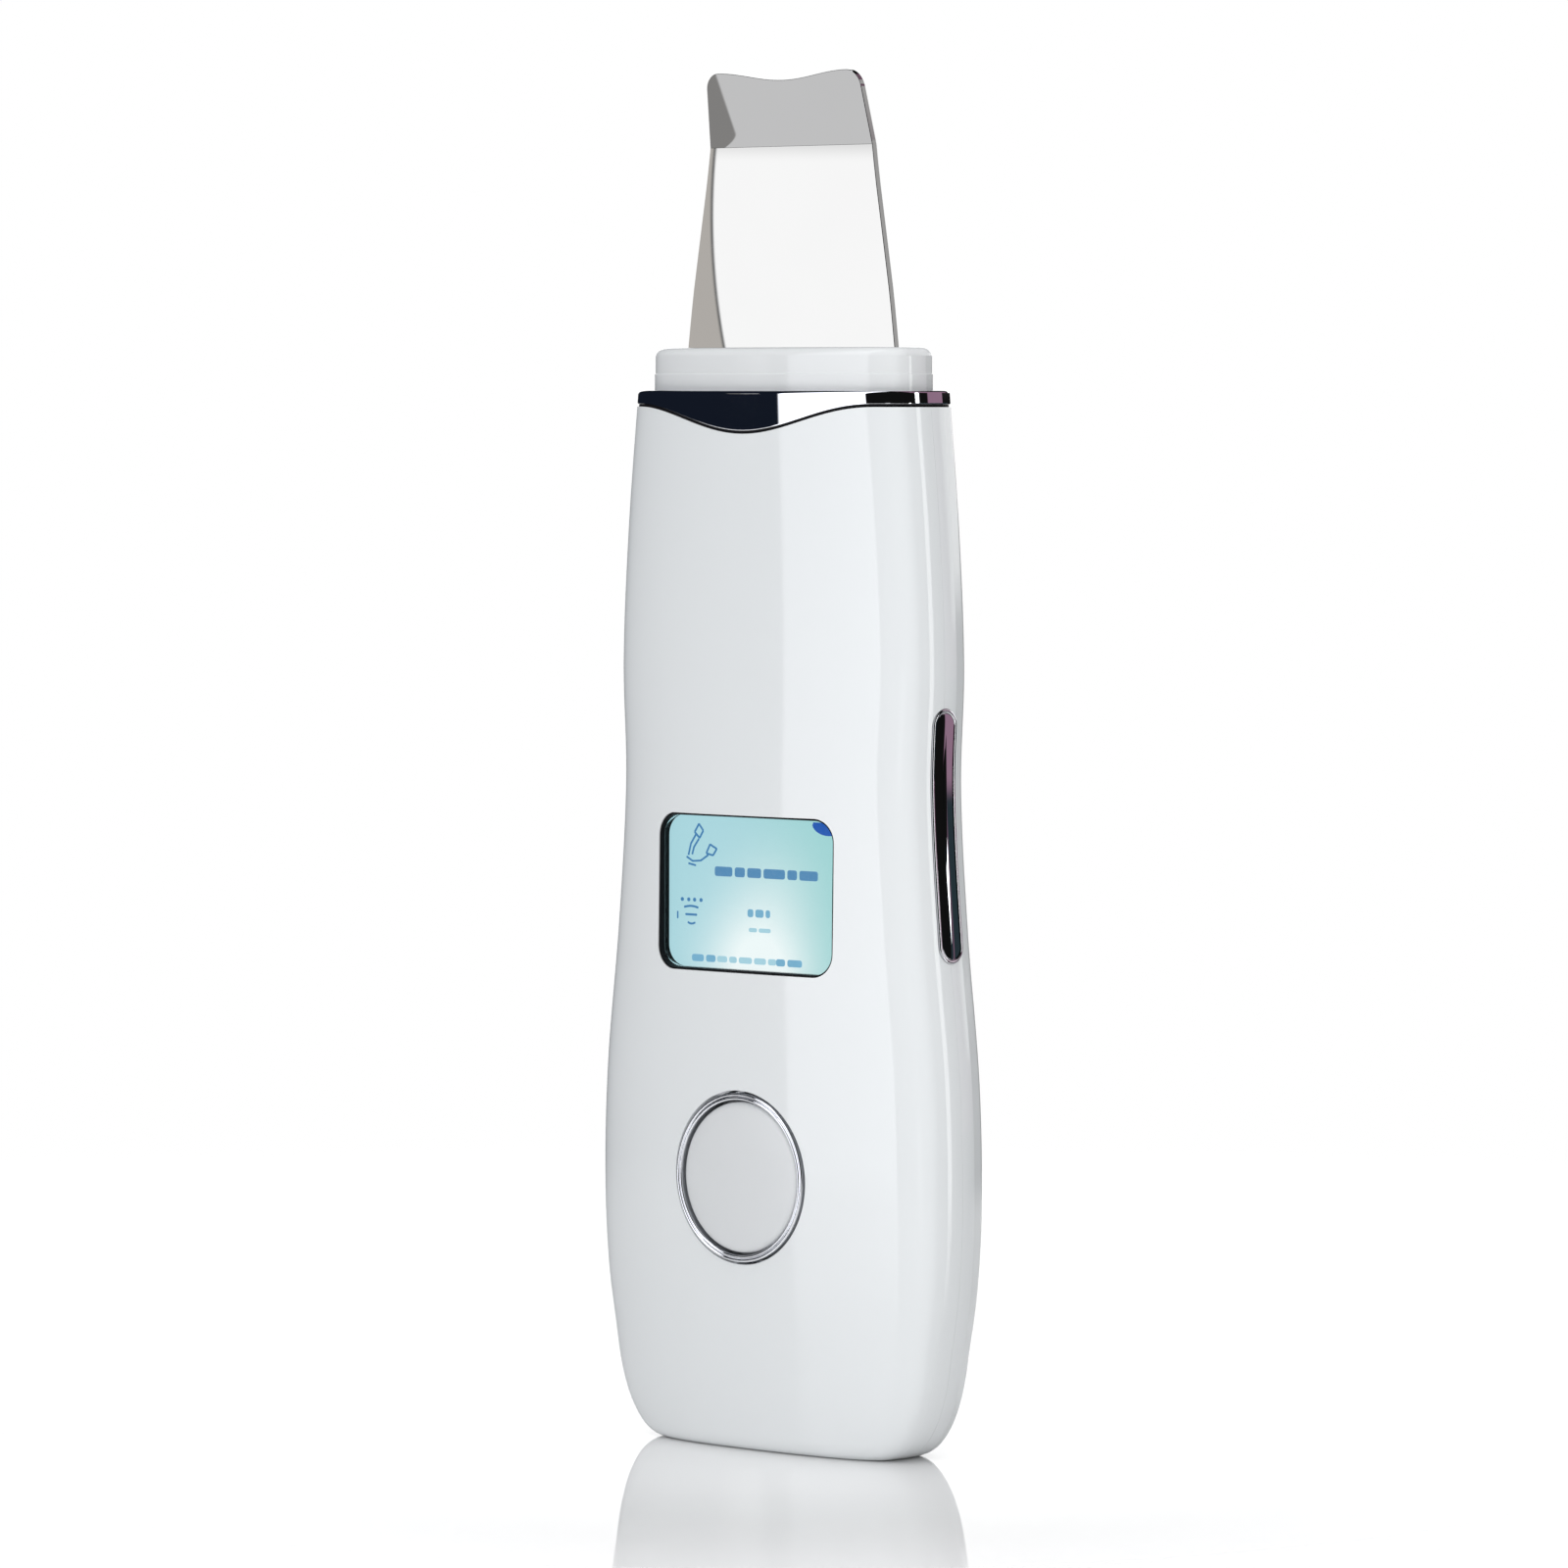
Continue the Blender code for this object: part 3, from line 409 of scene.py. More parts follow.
def rod(radius, x, z, front, back, segments=24):
    """A round bar along Y, for cutting and joining."""
    return turned_y("rod", [(0, front), (radius, front), (radius, back), (0, back)], x, z, segments)


def read_all(items, field, width=1, kind=float):
    """A field of a mesh's vertices, corners or faces, as an array of width columns."""
    values = np.empty(len(items) * width, kind)
    items.foreach_get(field, values)
    return values.reshape(-1, width) if width > 1 else values


def keep_skin_smooth(cover, level=False):
    """Gives every corner that lies on the handle's skin the skin's own normal, held level if asked."""
    mesh = cover.data
    shade(mesh, 30)
    vertex = read_all(mesh.loops, "vertex_index", kind=np.int32)
    co = read_all(mesh.vertices, "co", 3) / MM
    sizes = read_all(mesh.polygons, "loop_total", kind=np.int32)
    face_normal = np.repeat(read_all(mesh.polygons, "normal", 3), sizes, axis=0)
    centre = read_all(mesh.polygons, "center", 3) / MM
    in_band = np.repeat(np.abs(centre[:, 1]) < BAND_HALF, sizes)
    normal = np.where(in_band[:, None], skin_normals(band_value, co)[vertex], face_normals(co)[vertex])
    value = np.where(in_band, band_value(co)[vertex], face_value(co)[vertex])
    above_foot = co[vertex, 2] >= 0.05
    agrees = np.einsum("ij,ij->i", normal, face_normal) > math.cos(math.radians(25))
    use = (np.abs(value) < SKIN_REACH) & agrees & above_foot
    if level:
        normal[:, 2] = 0
        normal = unit(normal)
    mesh.normals_split_custom_set(np.where(use[:, None], normal, 0.0).tolist())


def front_cover():
    cover = half_shell("cover_front", -1)
    cut(cover, layered("window_cutter", ((CUT_FRONT, WINDOW_GAP), (CUT_BACK, WINDOW_GAP))))
    cut(cover, rod(BUTTON_HOLE, 0, BUTTON_Z, CUT_FRONT, CUT_BACK, 128))
    for x, z in CASE_SCREWS:
        join(cover, rod(CASE_BOSS, x, z, BOSS_ROOT - face_depth(x, z), -0.15))
        cut(cover, rod(CASE_HOLE, x, z, -4.7, 0.5))
    for x, z in BOARD_SCREWS:
        join(cover, rod(BOARD_BOSS, x, z, BOSS_ROOT - face_depth(x, z), -2.5))
        cut(cover, rod(BOARD_HOLE, x, z, -5.4, 0))
    cut_shared(cover)
    keep_skin_smooth(cover)
    return cover


def rear_cover():
    cover = half_shell("cover_rear", 1)
    for x, z in CASE_SCREWS:
        face = face_depth(x, z)
        join(cover, rod(REAR_BOSS, x, z, 0.15, face - BOSS_ROOT))
        cut(cover, rod(HEAD_HOLE, x, z, face - 2.35, face + 4, 48))
        cut(cover, rod(SHANK_HOLE, x, z, -0.5, face - 1.85))
    cut_shared(cover)
    keep_skin_smooth(cover)
    return cover


# ---- trim ring, collar, blade


def all_round(point):
    """A closed ring of point(turns, side): over the front face, then back over the rear one."""
    turns = np.linspace(math.pi, 0, FACE_COLUMNS + 1)
    return np.concatenate([point(turns, -1), point(turns[::-1], 1)])


def skin_ring(level, inset):
    """A ring inside the handle's skin, where level(x) is its height at x."""
    def point(turns, side):
        z = np.full_like(turns, BODY_TOP)
        for _ in range(4):
            x, y = face_point(turns, half_width(z) - inset, half_depth(z) - inset, BAND_HALF)
            z = level(x)
        return np.stack([x, side * y, z], axis=1)
    return all_round(point)


def groove_shade_band():
    """Black band in the groove under the trim ring: painted shade standing in for the gap's shadow."""
    low, high = -TRIM_GAP - 0.01, -0.01
    outer, inner = 0.22, 1.3
    places = ((low, outer), (high, outer), (high, inner), (low, inner))
    rings = [skin_ring(lambda x, h=height: trim_edge(x) + h, inset) for height, inset in places]
    return loft("trim_groove_shade", rings, closed=True)


def trim_ring():
    """Chrome ring on top of the covers, from its lower lip up and over to the collar."""
    clear = 0.1

    def inside(level):
        def point(turns, side):
            x, y = face_point(turns, COLLAR_WIDE + clear, COLLAR_DEEP + clear, COLLAR_BAND)
            return np.stack([x, side * y, level(x)], axis=1)
        return all_round(point)

    lip = ((0, TRIM_LIP), (0.3 * TRIM_LIP, 0.3 * TRIM_LIP), (TRIM_LIP, 0))
    rings = [skin_ring(lambda x, up=height: trim_edge(x) + up, inset) for height, inset in lip]
    rings.append(skin_ring(lambda x: trim_edge(x) * 0.5 + (BODY_TOP - TRIM_BEVEL) * 0.5, 0))
    for turn in np.radians((0, 22, 45, 68, 90)):
        height = BODY_TOP - TRIM_BEVEL * (1 - math.sin(turn))
        rings.append(skin_ring(lambda x, h=height: np.full_like(x, h), TRIM_BEVEL * (1 - math.cos(turn))))
    rings += [inside(lambda x: np.full_like(x, BODY_TOP)), inside(trim_edge)]
    ring = loft("trim_band", rings, closed=True, sharp_deg=50)
    keep_skin_smooth(ring, level=True)
    return ring


def keep_walls_smooth(neck):
    """Gives the collar's outer walls the normals of the curve they are cut from."""
    mesh = neck.data
    normals = []
    for face in mesh.polygons:
        middle = face.center / MM
        outer = abs(face.normal.z) < 0.05 and face.normal.x * middle.x + face.normal.y * middle.y > 0
        outer = outer and max(abs(middle.x) - SLOT_WIDE, abs(middle.y) - SLOT_DEEP) > 0.3
        for corner in face.vertices:
            x, y, _ = mesh.vertices[corner].co / MM
            if not outer:
                normal = (0, 0, 0)
            elif abs(middle.y) < COLLAR_BAND:
                normal = Vector((math.copysign(1, x), BAND_SLOPE * y / COLLAR_BAND, 0)).normalized()
            else:
                across = (min(abs(x) / COLLAR_WIDE, 1)) ** (FACE_POWER - 1) / COLLAR_WIDE
                rest = COLLAR_DEEP - COLLAR_BAND
                deep = (max(abs(y) - COLLAR_BAND, 0) / rest) ** (FACE_POWER - 1) / rest
                angle = min(math.atan2(across, deep), math.radians(FACE_EDGE_TURN))
                normal = (math.copysign(math.sin(angle), x), math.copysign(math.cos(angle), y), 0)
            normals.append(normal)
    mesh.normals_split_custom_set(normals)


def collar():
    """White neck, hollow from below, with a rounded top edge and the blade's slot."""
    def ring(inset, z):
        def point(turns, side):
            x, y = face_point(turns, COLLAR_WIDE - inset, COLLAR_DEEP - inset, COLLAR_BAND - inset / 2)
            return np.stack([x, side * y, np.full_like(x, z)], axis=1)
        return all_round(point)

    rings = [ring(WALL, COLLAR_ROOF), ring(WALL, COLLAR_BOTTOM), ring(0, COLLAR_BOTTOM)]
    rings += [ring(0, COLLAR_STEP_Z - 0.06), ring(COLLAR_STEP, COLLAR_STEP_Z)]
    for turn in np.radians(np.linspace(0, 90, 9)):
        inset = COLLAR_STEP + COLLAR_EDGE * (1 - math.cos(turn))
        rings.append(ring(inset, COLLAR_TOP - COLLAR_EDGE * (1 - math.sin(turn))))
    neck = loft("neck", rings, sharp_deg=40)
    slot = block("slot_cutter", (-SLOT_WIDE, -SLOT_DEEP, 128), (SLOT_WIDE, SLOT_DEEP, 133))
    cut(neck, slot)
    shade(neck.data, 40)
    keep_walls_smooth(neck)
    return neck


def seal():
    """Gasket between the blade and the collar's slot, with a rounded top."""
    clear = 0.03
    outer, inner = (SLOT_WIDE - clear, SLOT_DEEP - clear), (16.8, BLADE_HALF_THICK + clear)
    low, high = COLLAR_ROOF, COLLAR_TOP - 0.25
    crown = ((0.12, high - 0.07), (0.5, high), (0.88, high - 0.07))
    rings = []
    for share, z in ((0.0, low), (0.0, high - 0.25), *crown, (1.0, low)):
        wide = outer[0] + (inner[0] - outer[0]) * share
        deep = outer[1] + (inner[1] - outer[1]) * share
        rings.append([(wide, deep, z), (-wide, deep, z), (-wide, -deep, z), (wide, -deep, z)])
    return loft("slot_gasket", rings, closed=True)


def blade_lean(z):
    """How far the blade's tip is bent forward at height z, with a soft crease."""
    past = z - CREASE
    soft = (past + CREASE_SOFT) ** 2 / (4 * CREASE_SOFT)
    return LEAN * np.where(past > CREASE_SOFT, past, np.where(past < -CREASE_SOFT, 0, soft))


def blade():
    """Bent sheet spatula with round corners and a hollow tip, ground thin along its upper edge."""
    places, widths = np.array(BLADE_EDGE, float).T
    tip_half = np.interp(SHOULDER, places, widths)
    shares, tips = [], []
    for turn in np.radians(np.linspace(0, 90, 13)):
        shares.append(1 - TIP_CORNER * (1 - math.cos(turn)) / tip_half)
        tips.append(SHOULDER + TIP_CORNER * math.sin(turn))
    flat = shares[-1]
    for share in np.linspace(1, 0, 15)[1:]:
        shares.append(flat * share)
        tips.append(TIP - TIP_HOLLOW * (1 + math.cos(math.pi * share)) / 2)
    shares = np.array(shares + [-s for s in shares[-2::-1]])
    tips = np.array(tips + tips[-2::-1])
    start, tip_rise = CREASE - CREASE_SOFT, 9
    tang = (places[0], TANG_HOLE_Z, 124.5, 126, 127.3)
    levels = [np.full_like(shares, z) for z in (*tang, *np.linspace(129, start, 12))]
    upper = np.linspace(2 * CREASE_SOFT, tip_rise, 13)
    levels += [start + part / tip_rise * (tips - GRIND - start) for part in upper]

    def ring(z, inset):
        """A closed section of the sheet: its front face, right rim, back face and left rim."""
        wide = np.interp(np.minimum(z, SHOULDER), places, widths)
        x, lean = shares * (wide - GRIND), blade_lean(z)
        front = np.stack([x, -BLADE_HALF_THICK + inset - lean, z], 1)
        back = np.stack([x, BLADE_HALF_THICK - inset - lean, z], 1)
        thin = BLADE_HALF_THICK - GRIND
        rims = []
        for end, k in ((1, 0), (-1, -1)):
            rims.append([(end * wide[k], y - lean[k], z[k]) for y in (-thin, thin)])
        return np.concatenate([front[::-1], rims[0], back, rims[1][::-1]])

    rings = [ring(z, 0) for z in levels] + [ring(tips, GRIND)]
    size, columns = len(rings[0]), len(shares)
    faces = tube_faces(len(rings), size)
    faces.append(tuple(range(size)))
    top = (len(rings) - 1) * size
    right, left = columns - 1, 2 * columns + 1
    for k in range(columns - 1):
        faces.append((top + k, top + k + 1, top + left - k - 1, top + left - k))
    faces.append((top + right, top + right + 1, top + right + 2, top + right + 3))
    faces.append((top, top + left, top + left + 1, top + left + 2))
    sheet = new_object("spatula", np.concatenate(rings), faces)
    cut(sheet, rod(TANG_HOLE, 0, TANG_HOLE_Z, -2, 2))
    shade(sheet.data, 3)
    return sheet


# ---- window, button, side contacts


def window_frame():
    """Black frame that follows the face, with a rounded front edge."""
    outer, inner, back = 0.02, -0.22, -6.0

    def flat(margin):
        return [(u, back, WINDOW_Z + v) for u, v in window_outline(margin)]

    def curved(margin, sunk):
        outline = [(u, WINDOW_Z + v) for u, v in window_outline(margin)]
        return [(u, -face_depth(u, z) + sunk, z) for u, z in outline]

    edge = ((outer, 0.2), (-0.02, 0.12), (-0.1, 0.1), (-0.18, 0.12), (inner, 0.2))
    rings = [flat(outer)] + [curved(margin, sunk) for margin, sunk in edge] + [flat(inner)]
    return loft("display_surround", rings, closed=True)


LENS_LAYERS = ((-6.9, -0.24), (-7.45, -0.24), (-7.5, -0.27))
PANEL_LAYERS = ((-4.2, -0.3), (-6.0, -0.3), (-6.01, -0.23), (-6.6, -0.23))
ICON_FRONT, ICON_BACK = -6.66, -6.61


def join_plates(name, outlines):
    """One object of thin plates, from their (x, z) outlines."""
    points, faces = [], []
    for outline in outlines:
        start, size = len(points), len(outline)
        sides = [tuple(range(size)), tuple(reversed(range(size, 2 * size)))]
        sides += [(i, i + size, (i + 1) % size + size, (i + 1) % size) for i in range(size)]
        faces += [tuple(i + start for i in side) for side in sides]
        points += [(x, y, z) for y in (ICON_FRONT, ICON_BACK) for x, z in outline]
    return new_object(name, points, faces)


def dot(x, z, radius, steps=24):
    turns = np.radians(np.linspace(0, 360, steps, endpoint=False))
    return [(x + radius * math.cos(t), z + radius * math.sin(t)) for t in turns]


def stroke(points, wide):
    """Outline of a line of constant width through points."""
    points = np.array(points, float)
    along = np.gradient(points, axis=0)
    along /= np.linalg.norm(along, axis=1, keepdims=True)
    across = np.stack([-along[:, 1], along[:, 0]], axis=1) * wide / 2
    return [tuple(p) for p in np.concatenate([points + across, (points - across)[::-1]])]


def bar(x0, x1, z0, z1, radius=0.18):
    """Outline of an upright block with rounded corners."""
    outline = rounded_rectangle(x1 - x0, z1 - z0, min(radius, (z1 - z0) / 2.1, (x1 - x0) / 2.1), 4)
    return [((x0 + x1) / 2 + u, (z0 + z1) / 2 + v) for u, v in outline]


def wave(x0, x1, z, height, turns):
    """Points along a sine."""
    x = np.linspace(x0, x1, 20)
    return np.stack([x, z + height * np.sin((x - x0) / (x1 - x0) * math.tau * turns)], axis=1)


def outline_of(points, wide):
    """A closed line round points, as short strokes."""
    points = list(points)
    return [stroke([a, b], wide) for a, b in zip(points, points[1:] + points[:1])]


def icons():
    """Two small wands drawn in line, and a gauge of dots and waves: generic signs with no lettering."""
    line, lowered = 0.24, 0.33
    head = [(-8.9, 75.0), (-8.2, 74.2), (-8.8, 73.3), (-9.6, 74.0)]
    tail = [(-7.1, 72.6), (-6.0, 72.1), (-6.6, 71.3), (-7.7, 71.5)]
    marks = outline_of(head, line) + outline_of(tail, line)
    for path in (
        [(-9.4, 73.7), (-10.2, 72.6), (-10.6, 71.2)],
        [(-8.9, 73.2), (-9.7, 72.2), (-10.0, 71.3)],
        [(-10.9, 71.0), (-9.9, 70.5), (-8.6, 70.6), (-7.4, 71.3)],
        [(-10.6, 70.2), (-9.4, 70.0)],
    ):
        marks.append(stroke(path, line))
    marks += [dot(x, 65.86, line) for x in (-11.6, -10.55, -9.6, -8.55)]
    marks += [stroke(wave(-11.3, -9.0, 64.93, 0.16, 0.5), 0.26), bar(-11.1, -9.2, 63.93, 64.2)]
    marks += [stroke(wave(-10.7, -9.5, 63.13, -0.16, 0.5), 0.24), bar(-12.45, -12.25, 63.5, 64.4)]
    return join_plates("display_signs", [[(x, z - lowered) for x, z in mark] for mark in marks])


def row_of_bars(start, z, high, widths, gap):
    """Plain blocks side by side, from x = start."""
    blocks = []
    for wide in widths:
        blocks.append(bar(start, start + wide, z - high / 2, z + high / 2, 0.3))
        start += wide + gap
    return blocks


TOP_ROW, MIDDLE_ROW, THIN_ROW, LOW_ROW = 69.1, 64.3, 62.3, 58.6


def strong_bars():
    widths = (2.8, 1.6, 2.2, 3.4, 1.5, 2.9)
    return join_plates("display_bars", row_of_bars(-6.3, TOP_ROW, 1.15, widths, 0.42))


def middle_bars():
    blocks = row_of_bars(-1.0, MIDDLE_ROW, 0.95, (0.9, 1.3, 0.7), 0.35)
    blocks += row_of_bars(-10.0, LOW_ROW, 0.85, (1.9, 1.5), 0.4)
    blocks += row_of_bars(3.6, LOW_ROW, 0.85, (1.4, 2.3), 0.4)
    return join_plates("display_bars_middle", blocks)


def faint_bars():
    blocks = row_of_bars(-0.8, THIN_ROW, 0.5, (1.3, 1.9), 0.3)
    blocks += row_of_bars(-5.9, LOW_ROW, 0.75, (1.6, 1.2, 2.1, 1.9, 1.3), 0.35)
    return join_plates("display_bars_faint", blocks)


def corner_mark():
    """The display's filled upper right corner, with a round lower edge."""
    outline = window_outline(-0.5)
    corner = [(u, WINDOW_Z + v) for u, v in outline if u > 10.2 and v > 7.2] + [(9.5, WINDOW_Z + 8.85)]
    for turn in np.radians(np.linspace(190, 300, 12)):
        corner.append((11.9 + 2.6 * math.cos(turn), 75.4 + 1.45 * math.sin(turn)))
    return join_plates("display_mark", [corner])


def arc(cx, cy, radius, start, end, steps):
    turns = np.radians(np.linspace(start, end, steps))
    return [(cx + radius * math.cos(t), cy + radius * math.sin(t)) for t in turns]


def button_bezel():
    """Chrome ring with a double crest: its front is two rounded rings with a groove between them."""
    inner_crest, outer_crest = arc(9.46, -9.2, 0.18, 180, 330, 9), arc(9.9, -9.15, 0.2, 200, 360, 9)
    profile = [(9.28, -6.1), (9.28, -9.1), *inner_crest, (9.66, -9.16), *outer_crest]
    profile += [(10.1, -6.8), (11.4, -6.8), (11.4, -6.1)]
    return turned_y("button_ring", profile, 0, BUTTON_Z, 128, 50)


def button_cap():
    """Crowned cap with a rounded edge, a hidden flange, and a hollow back with a post."""
    crown = [(0, -9.5), (1.5, -9.495), (3, -9.47), (4.5, -9.43), (6, -9.36), (7.3, -9.27), (8.3, -9.16)]
    edge = [(8.65, -9.08), (8.86, -8.96), (8.97, -8.8), (9.0, -8.6)]
    flange = [(9.0, -5.8), (10.3, -5.8), (10.3, -5.1)]
    hollow = [(7.6, -5.1), (7.6, -7.9), (1.6, -7.9), (1.6, -6.9), (0, -6.9)]
    return turned_y("button_face", crown + edge + flange + hollow, 0, BUTTON_Z, 128, 50)


STRIP_BASE = -0.95


def side_bezel(side, name):
    """Chrome rim of a side strip, with a rounded front."""
    wide, top = 0.45, BAND_BULGE + 0.13
    crest = ((-0.06, top - 0.03), (-0.16, top), (-0.29, top), (-0.39, top - 0.03))
    profile = ((0, STRIP_BASE), (0, top - 0.1), *crest, (-wide, top - 0.1), (-wide, STRIP_BASE))
    return loft(name, [strip_ring(side, margin, above) for margin, above in profile], closed=True)


def level_outer_face(plate, side, slope):
    """Gives the crowned face of a side plate level normals that turn with y alone."""
    mesh = plate.data
    normals = []
    for face in mesh.polygons:
        outer = side * face.normal.x > 0.9
        for corner in face.vertices:
            lean = slope * (mesh.vertices[corner].co.y / MM - STRIP_Y)
            normals.append(Vector((side, lean, 0)).normalized() if outer else (0, 0, 0))
    mesh.normals_split_custom_set(normals)


def side_plate(side, name):
    """Crowned contact plate in the bezel, with its solder tab behind it."""
    edge, crown, chamfer = 0.33, 0.105, 0.06
    margin, face_margin = -0.5, -0.56
    rim = ((margin, STRIP_BASE), (margin, edge - chamfer), (face_margin, edge))
    rings = [strip_ring(side, inset, above) for inset, above in rim]
    for share in np.linspace(0.97, 0.05, 14):
        y, z = strip_outline(face_margin).T
        y = STRIP_Y + (y - STRIP_Y) * share
        middle = STRIP_Z + (z - STRIP_Z) * (1 - (1 - share) * 0.1)
        above = edge + crown * (1 - share**2)
        rings.append(np.stack([side * (half_width(middle) + above), y, middle], axis=1))
    plate = loft(name, rings)
    base_x = half_width(STRIP_Z)
    near, far = sorted((side * (base_x - 3.4), side * (base_x - 0.5)))
    join(plate, block("tab", (near, -0.8, STRIP_Z - 1.2), (far, 0.8, STRIP_Z + 1.2)))
    shade(plate.data, 35)
    level_outer_face(plate, side, 2 * crown / (STRIP_HALF_WIDE + face_margin) ** 2)
    return plate


# ---- materials


class Graph:
    """Short names for building a node tree."""

    def __init__(self, tree):
        self.nodes, self.links = tree.nodes, tree.links

    def node(self, kind, **settings):
        made = self.nodes.new(kind)
        for key, value in settings.items():
            setattr(made, key, value)
        return made

    def put(self, value, socket):
        if isinstance(value, bpy.types.NodeSocket):
            self.links.new(value, socket)
        else:
            socket.default_value = value

    def place(self):
        return self.node("ShaderNodeTexCoord").outputs["Object"]

    def split(self, vector):
        made = self.node("ShaderNodeSeparateXYZ")
        self.put(vector, made.inputs[0])
        return made.outputs[:3]

    def math(self, operation, a, b=0.0, clamp=False):
        made = self.node("ShaderNodeMath", operation=operation, use_clamp=clamp)
        self.put(a, made.inputs[0])
        self.put(b, made.inputs[1])
        return made.outputs[0]

    def square(self, value):
        return self.math("MULTIPLY", value, value)

    def step(self, value, at, soft):
        """0 below at, 1 above it, with a smooth change over 2 x soft."""
        made = self.node("ShaderNodeMapRange", interpolation_type="SMOOTHSTEP")
        self.put(value, made.inputs["Value"])
        if isinstance(at, bpy.types.NodeSocket):
            self.put(self.math("SUBTRACT", at, soft), made.inputs["From Min"])
            self.put(self.math("ADD", at, soft), made.inputs["From Max"])
        else:
            self.put(at - soft, made.inputs["From Min"])
            self.put(at + soft, made.inputs["From Max"])
        return made.outputs[0]

    def band(self, value, low, high, soft):
        """1 between low and high, 0 outside them."""
        inside = self.step(value, low, soft)
        return self.math("SUBTRACT", inside, self.step(value, high, soft))

    def mix(self, share, a, b):
        """Colour a where share is 0, colour b where it is 1."""
        made = self.node("ShaderNodeMix", data_type="RGBA", clamp_factor=True)
        self.put(share, made.inputs[0])
        for value, socket in ((a, made.inputs[6]), (b, made.inputs[7])):
            self.put(value if isinstance(value, bpy.types.NodeSocket) else (*value, 1.0), socket)
        return made.outputs[2]

    def noise(self, vector, scale, detail=2.0):
        made = self.node("ShaderNodeTexNoise")
        self.put(vector, made.inputs["Vector"])
        self.put(scale, made.inputs["Scale"])
        self.put(detail, made.inputs["Detail"])
        return made.outputs["Fac"]

    def between(self, share, low, high):
        """low where share is 0, high where it is 1."""
        made = self.node("ShaderNodeMapRange")
        self.put(share, made.inputs["Value"])
        self.put(low, made.inputs["To Min"])
        self.put(high, made.inputs["To Max"])
        return made.outputs[0]


def base_material(name):
    made = bpy.data.materials.new(name)
    made.use_nodes = True
    return made, Graph(made.node_tree), made.node_tree.nodes["Principled BSDF"]


def finish(name, colour, roughness, metallic=0.0, vary=0.02, scale=300.0, rough_vary=0.15,
           bump=0.0, bump_scale=900.0, ior=1.5):
    """A procedural surface: colour and roughness drift with noise, and a fine bump."""
    made, graph, shader = base_material(name)
    place = graph.place()
    slow = graph.noise(place, scale)
    low = tuple(max(c * (1 - vary), 0) for c in colour)
    high = tuple(min(c * (1 + vary), 1) for c in colour)
    graph.put(graph.mix(slow, low, high), shader.inputs["Base Color"])
    fine = graph.noise(place, scale * 4, 3.0)
    rough = graph.between(fine, roughness * (1 - rough_vary), roughness * (1 + rough_vary))
    graph.put(rough, shader.inputs["Roughness"])
    if bump:
        lift = graph.node("ShaderNodeBump")
        graph.put(0.3, lift.inputs["Strength"])
        graph.put(bump * MM, lift.inputs["Distance"])
        graph.put(graph.noise(place, bump_scale, 3.0), lift.inputs["Height"])
        graph.put(lift.outputs[0], shader.inputs["Normal"])
    graph.put(metallic, shader.inputs["Metallic"])
    graph.put(ior, shader.inputs["IOR"])
    return made


# The display's bright lobes: centre x and z, reach along x and z, and strength
GLOWS = ((0.8, 57.0, 8.0, 5.5, 1.0), (3.0, 66.0, 7.0, 6.5, 0.32), (0.0, 61.5, 7.0, 6.0, 0.32))


def glowing_display():
    """Lit display: a cyan ground with soft white lobes of light."""
    made, graph, shader = base_material("display_glow")
    place = graph.place()
    right, _, up = graph.split(place)
    x, z = graph.math("DIVIDE", right, MM), graph.math("DIVIDE", up, MM)
    glow = 0.0
    for centre_x, centre_z, reach_x, reach_z, strength in GLOWS:
        across = graph.math("DIVIDE", graph.math("SUBTRACT", x, centre_x), reach_x)
        along = graph.math("DIVIDE", graph.math("SUBTRACT", z, centre_z), reach_z)
        spread = graph.math("ADD", graph.square(across), graph.square(along))
        lobe = graph.math("EXPONENT", graph.math("MULTIPLY", spread, -1.0))
        glow = graph.math("ADD", graph.math("MULTIPLY", lobe, strength), glow)
    ground = graph.mix(graph.step(x, 3.0, 12.0), (0.40, 0.66, 0.72), (0.34, 0.64, 0.64))
    ripple = graph.between(graph.noise(place, 400.0), 0.97, 1.03)
    lit = graph.mix(graph.math("MULTIPLY", glow, ripple, clamp=True), ground, (0.86, 0.93, 0.93))
    graph.put(lit, shader.inputs["Emission Color"])
    graph.put(1.0, shader.inputs["Emission Strength"])
    graph.put((0.02, 0.03, 0.03, 1), shader.inputs["Base Color"])
    graph.put(graph.between(graph.noise(place, 900.0), 0.35, 0.45), shader.inputs["Roughness"])
    return made


def glowing_ink(name, colour):
    """A lit sign on the display, slightly uneven in strength."""
    made, graph, shader = base_material(name)
    share = graph.noise(graph.place(), 500.0)
    low, high = (tuple(c * strength for c in colour) for strength in (0.95, 1.05))
    graph.put(graph.mix(share, low, high), shader.inputs["Emission Color"])
    graph.put(1.0, shader.inputs["Emission Strength"])
    graph.put((0.02, 0.02, 0.02, 1), shader.inputs["Base Color"])
    graph.put(graph.between(share, 0.4, 0.5), shader.inputs["Roughness"])
    return made


def clear_plastic():
    made, graph, shader = base_material("clear_lens_look")
    graph.put((0.97, 0.99, 0.99, 1), shader.inputs["Base Color"])
    graph.put(1.0, shader.inputs["Transmission Weight"])
    graph.put(1.05, shader.inputs["IOR"])
    graph.put(graph.between(graph.noise(graph.place(), 600.0), 0.0, 0.02), shader.inputs["Roughness"])
    return made


